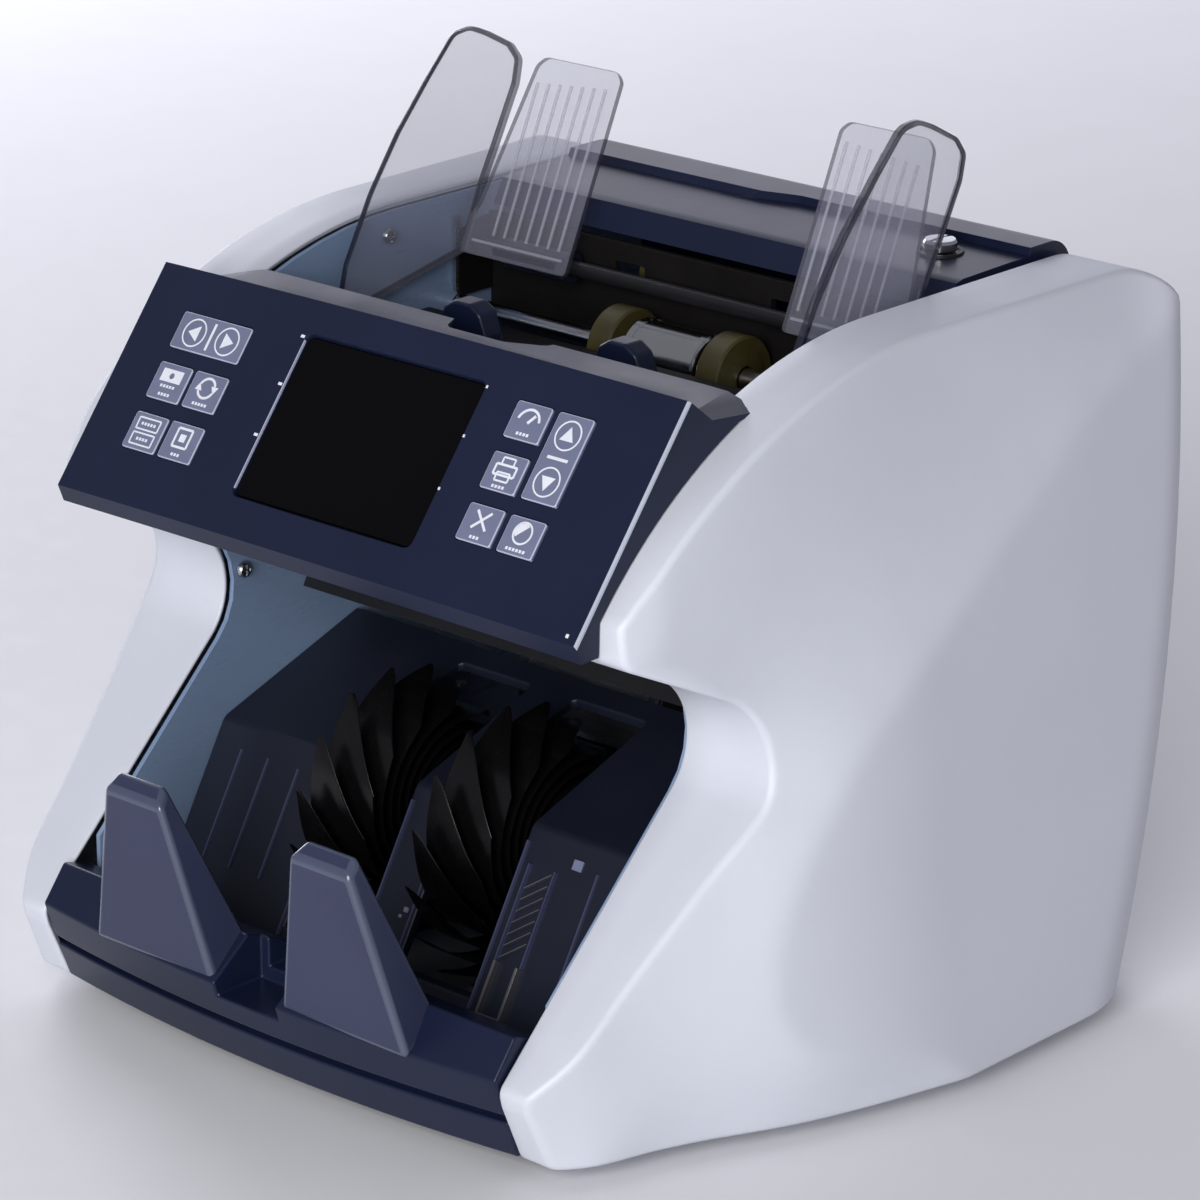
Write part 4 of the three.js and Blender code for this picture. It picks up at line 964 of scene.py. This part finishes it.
def floor_shell():
    section = [(-24, 163), (-22, 163), (-22, 174.8), (36, 174.8), (36, 177), (-24, 177)]
    bm = prism(section, "x", -PLATE_HALF, PLATE_HALF)
    for x in (-62, 62):
        bm = boolean(bm, prism(rounded_box(x - 9, x + 9, 6, 12, 1), "z", 170, 180))
    return soften(bm, 0.5, 2)


piece("hopper_floor_plate", floor_shell(), WARM_BLACK, replaces="hopper_floor")
posts = []
for x in (-31, 31):
    outline = [(x + 10, 176.6), (x + 10, 191), (x + 7.4, 197.8), (x + 3.4, 200.3), (x - 3.4, 200.3),
               (x - 7.4, 197.8), (x - 10, 191), (x - 10, 176.6)]
    posts.append(soften(prism(fillet(outline, [0, 4, 3, 3, 3, 3, 4, 0]), "y", -12, -4), 1.2, 3))
piece("hopper_posts", merged(*posts), NAVY)


def feed_shaft_turned():
    sleeve = [(0.5, -97), (3.3, -97), (3.5, -96.8), (3.5, -14.6), (10.2, -14.5), (11, -13.8), (11, -11.6),
              (10.6, -11.3), (10.6, 11.3), (11, 11.6), (11, 13.8), (10.2, 14.5), (3.5, 14.6), (3.5, 96.8),
              (3.3, 97), (0.5, 97)]
    return lathe(sleeve, "x", FEED, 64)


piece("feed_shaft_turned", feed_shaft_turned(), CHROME, body="feed_rollers", replaces="feed_shaft")
tyre = lathe([(4, 17.1), (8, 17.1), (8.6, 17.6), (12.3, 17.6), (13, 18.2), (13, 25.8), (12.3, 26.4),
              (8.6, 26.4), (8, 26.9), (4, 26.9)], "x", FEED, 56)
for side in ("left", "right"):
    piece(f"{side}_feed_tyre", tyre.copy() if side == "right" else mirrored(tyre), OLIVE, body="feed_rollers",
          replaces=f"{side}_feed_roller")


def screw(x, y, z, radius=2.6):
    """Cross-slot screw head on the right-hand frame, looking to the left."""
    head = lathe([(0, x + 0.9), (radius, x + 0.9), (radius, x + 0.2), (radius * 0.8, x - 0.6), (0, x - 0.9)],
                 "x", (y, z), 32)
    head = boolean(head, block(x - 3, x - 0.3, y - 0.4, y + 0.4, z - 1.7, z + 1.7))
    return boolean(head, block(x - 3, x - 0.31, y - 1.7, y + 1.7, z - 0.4, z + 0.4))


for place, y, z in (("hopper", 18.3, 203.4), ("stacker", -46.2, 111.3)):
    head = screw(90.4, y, z)
    for side in ("left", "right"):
        piece(f"{side}_{place}_screw_head", head.copy() if side == "right" else mirrored(head), STEEL,
              replaces=f"{side}_{place}_screw")

# ---------- CAD nodes whose shape is right keep it, with rounded edges and a real finish ----------
# each node's material and the width of its rounded edges, in millimetres
KEPT = {"left_side_frame": (BLUE_STEEL, 0.2), "right_side_frame": (BLUE_STEEL, 0.2),
        "base_plate": (ZINC, 0.3), "foot_front_left": (RUBBER, 0.6), "foot_front_right": (RUBBER, 0.6),
        "foot_rear_left": (RUBBER, 0.6), "foot_rear_right": (RUBBER, 0.6), "power_inlet": (BLACK, 0.5),
        "power_switch": (BLACK, 0.6), "power_supply": (ZINC, 0.8), "main_circuit_board": (BOARD, 0.1),
        "display_module": (ZINC, 0.4), "panel_circuit_board": (BOARD, 0.2), "guide_rod": (BLACK, 0.4),
        "left_lid_hinge_pin": (STEEL, 0.3), "right_lid_hinge_pin": (STEEL, 0.3),
        "transport_drum": (RUBBER, 0.8), "drum_shaft": (STEEL, 0.4), "drum_pulley": (BLACK, 0.3),
        "drum_guide": (BLACK, 0.2), "pocket_ceiling": (BLACK, 0.5), "image_sensor_bar": (BLACK, 0.6),
        "drive_motor": (ZINC, 1.0), "motor_pulley": (BRASS, 0.3), "drive_belt": (RUBBER, 0.2),
        "stacker_shaft": (STEEL, 0.4)}
for name, (material, width) in KEPT.items():
    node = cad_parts[name]
    node.data.materials.clear()
    node.data.materials.append(material)
    rounding = node.modifiers.new("rounding", "BEVEL")
    rounding.width = width / 1000
    rounding.segments = 2
    rounding.limit_method = "ANGLE"
    rounding.angle_limit = math.radians(40)
    node.data.shade_smooth()
    node.data.set_sharp_from_angle(angle=math.radians(40))


# ---------- fittings on the kept nodes ----------
def slotted_head(x, z, y, radius=2.6):
    """Cross-slot screw head on a face that looks along y."""
    head = lathe([(0, y + 1.1), (radius * 0.7, y + 0.95), (radius, y + 0.4), (radius, y - 0.6), (0, y - 0.6)],
                 "y", (x, z), 28)
    head = boolean(head, block(x - 1.6, x + 1.6, y + 0.2, y + 3, z - 0.35, z + 0.35))
    return boolean(head, block(x - 0.36, x + 0.36, y + 0.21, y + 3.1, z - 1.6, z + 1.6))


def rear_face(z):
    return back_face(z) - 0.8


def rear_panel_shell():
    faces = []
    for depth in (0.8, 3.8):
        side = [(back_face(z) - depth, z) for z in np.linspace(1, BACK_TOP[1], 30)]
        faces.append(side + arc(BACK_TOP[0] - REAR_R, TOP - REAR_R, REAR_R - depth, 0, 51, 12)[1:])
    bm = prism(faces[0] + faces[1][::-1], "x", -PLATE_HALF, PLATE_HALF)
    holes = [rounded_box(x - 4, x + 4, 128, 158, 2) for x in np.linspace(-56, 56, 8)]
    holes += [rounded_box(40.6, 69.4, 30.6, 52.4, 1), rounded_box(22.6, 36.4, 31.5, 51.5, 1)]
    for hole in holes:
        bm = boolean(bm, prism(hole, "y", 85, 150))
    return soften(bm, 0.5, 2, 30)


piece("rear_panel_moulding", rear_panel_shell(), NAVY, replaces="rear_panel")
rear_fittings = [slotted_head(x, z, rear_face(z) - 0.3) for x in (-84, 84) for z in (22, 100, 176)]
piece("rear_screw_heads", merged(*rear_fittings), STEEL)
rim_at = rear_face(41.5)
inlet_rim = boolean(prism(rounded_box(39.4, 70.6, 29.2, 53.8, 2.5), "y", rim_at - 0.2, rim_at + 1.0),
                    prism(rounded_box(41.6, 68.4, 31.6, 51.6, 1.5), "y", 90, 130))
piece("inlet_rim", soften(inlet_rim, 0.3), BLACK)

board_parts = [block(x, x + w, 64.5 - h, 67.9, z, z + d) for x, w, z, d, h in (
    (14, 22, 72, 16, 0), (42, 9, 76, 9, 0.4), (56, 24, 82, 5, 3), (12, 6, 40, 20, 4), (60, 14, 40, 22, 1))]
board_parts += [lathe([(0, 54), (3.2, 54), (3.4, 54.6), (3.4, 67.9), (0, 67.9)], "y", (x, 52), 24)
                for x in (30, 40, 50)]
piece("board_components", merged(*[soften(p, 0.3, 1) for p in board_parts]), BLACK)
motor_caps = [lathe([(6, end), (17.6, end), (19.5, end + s * 1.6), (19.5, end + s * 4.4),
                     (18.9, end + s * 4.4), (18.9, end + s * 6), (6, end + s * 6)], "x", MOTOR, 40)
              for end, s in ((-84.4, 1), (-23.6, -1))]
piece("motor_end_caps", merged(*motor_caps), GUNMETAL)
supply_vents = [soften(block(16 + i * 5, 19 + i * 5, 74, 92, 29.9, 30.9), 0.3, 1) for i in range(13)]
piece("supply_vents", merged(*supply_vents), GUNMETAL)
drum_bands = [lathe([(25.6, x - 5), (26.0, x - 5), (26.6, x - 4.4), (26.6, x + 4.4), (26.0, x + 5),
                     (25.6, x + 5)], "x", DRUM, 56) for x in (-40, -13.5, 13.5, 40)]
piece("drum_grip_bands", merged(*drum_bands), OLIVE, body="drum")
lens = soften(block(-76, 76, -40.8, -39.9, 150, 154), 0.3, 1)
piece("sensor_lens", lens, SCREEN)

# ---------- floor, light and camera ----------
floor_mesh = bpy.data.meshes.new("floor")
floor_mesh.from_pydata([(-6, -6, 0), (6, -6, 0), (6, 6, 0), (-6, 6, 0)], [], [(0, 1, 2, 3)])
floor = bpy.data.objects.new("floor", floor_mesh)
bpy.context.scene.collection.objects.link(floor)
floor_mesh.materials.append(shade("floor_pale", (0.86, 0.86, 0.88), 0.6, mottle=0.01, grain=0.02))

world = bpy.data.worlds.new("studio")
bpy.context.scene.world = world
world.use_nodes = True
world.node_tree.nodes["Background"].inputs["Color"].default_value = (0.90, 0.915, 1.0, 1)
world.node_tree.nodes["Background"].inputs["Strength"].default_value = 0.27


def softbox(name, location, target, size, power, color=(1, 1, 1)):
    light = bpy.data.lights.new(name, "AREA")
    light.shape = "RECTANGLE"
    light.size, light.size_y = size
    light.energy = power
    light.color = color
    obj = bpy.data.objects.new(name, light)
    bpy.context.scene.collection.objects.link(obj)
    obj.location = location
    obj.rotation_euler = (Vector(target) - Vector(location)).to_track_quat("-Z", "Y").to_euler()


softbox("key_light", (0.84, -1.88, 0.78), (0, 0, 0.1), (1.3, 1.3), 43)
softbox("back_light", (-2.3, 1.0, 0.9), (-1.1, 1.4, 0), (1.6, 1.6), 38, (0.9, 0.91, 1.0))
softbox("sheen_light", (-1.7, 2.5, 1.0), (0, 0, 0.2), (2.6, 1.4), 11, (0.86, 0.86, 1.0))

camera_data = bpy.data.cameras.new("camera")
camera_data.lens = 147
camera_data.sensor_width = 36
camera = bpy.data.objects.new("camera", camera_data)
camera.location = (0.94085, -1.01161, 0.60819)
camera.rotation_euler = (math.radians(70.45), 0, math.radians(42.45))
bpy.context.scene.collection.objects.link(camera)
bpy.context.scene.camera = camera
bpy.context.scene.view_settings.view_transform = "Standard"

bpy.context.view_layer.update()
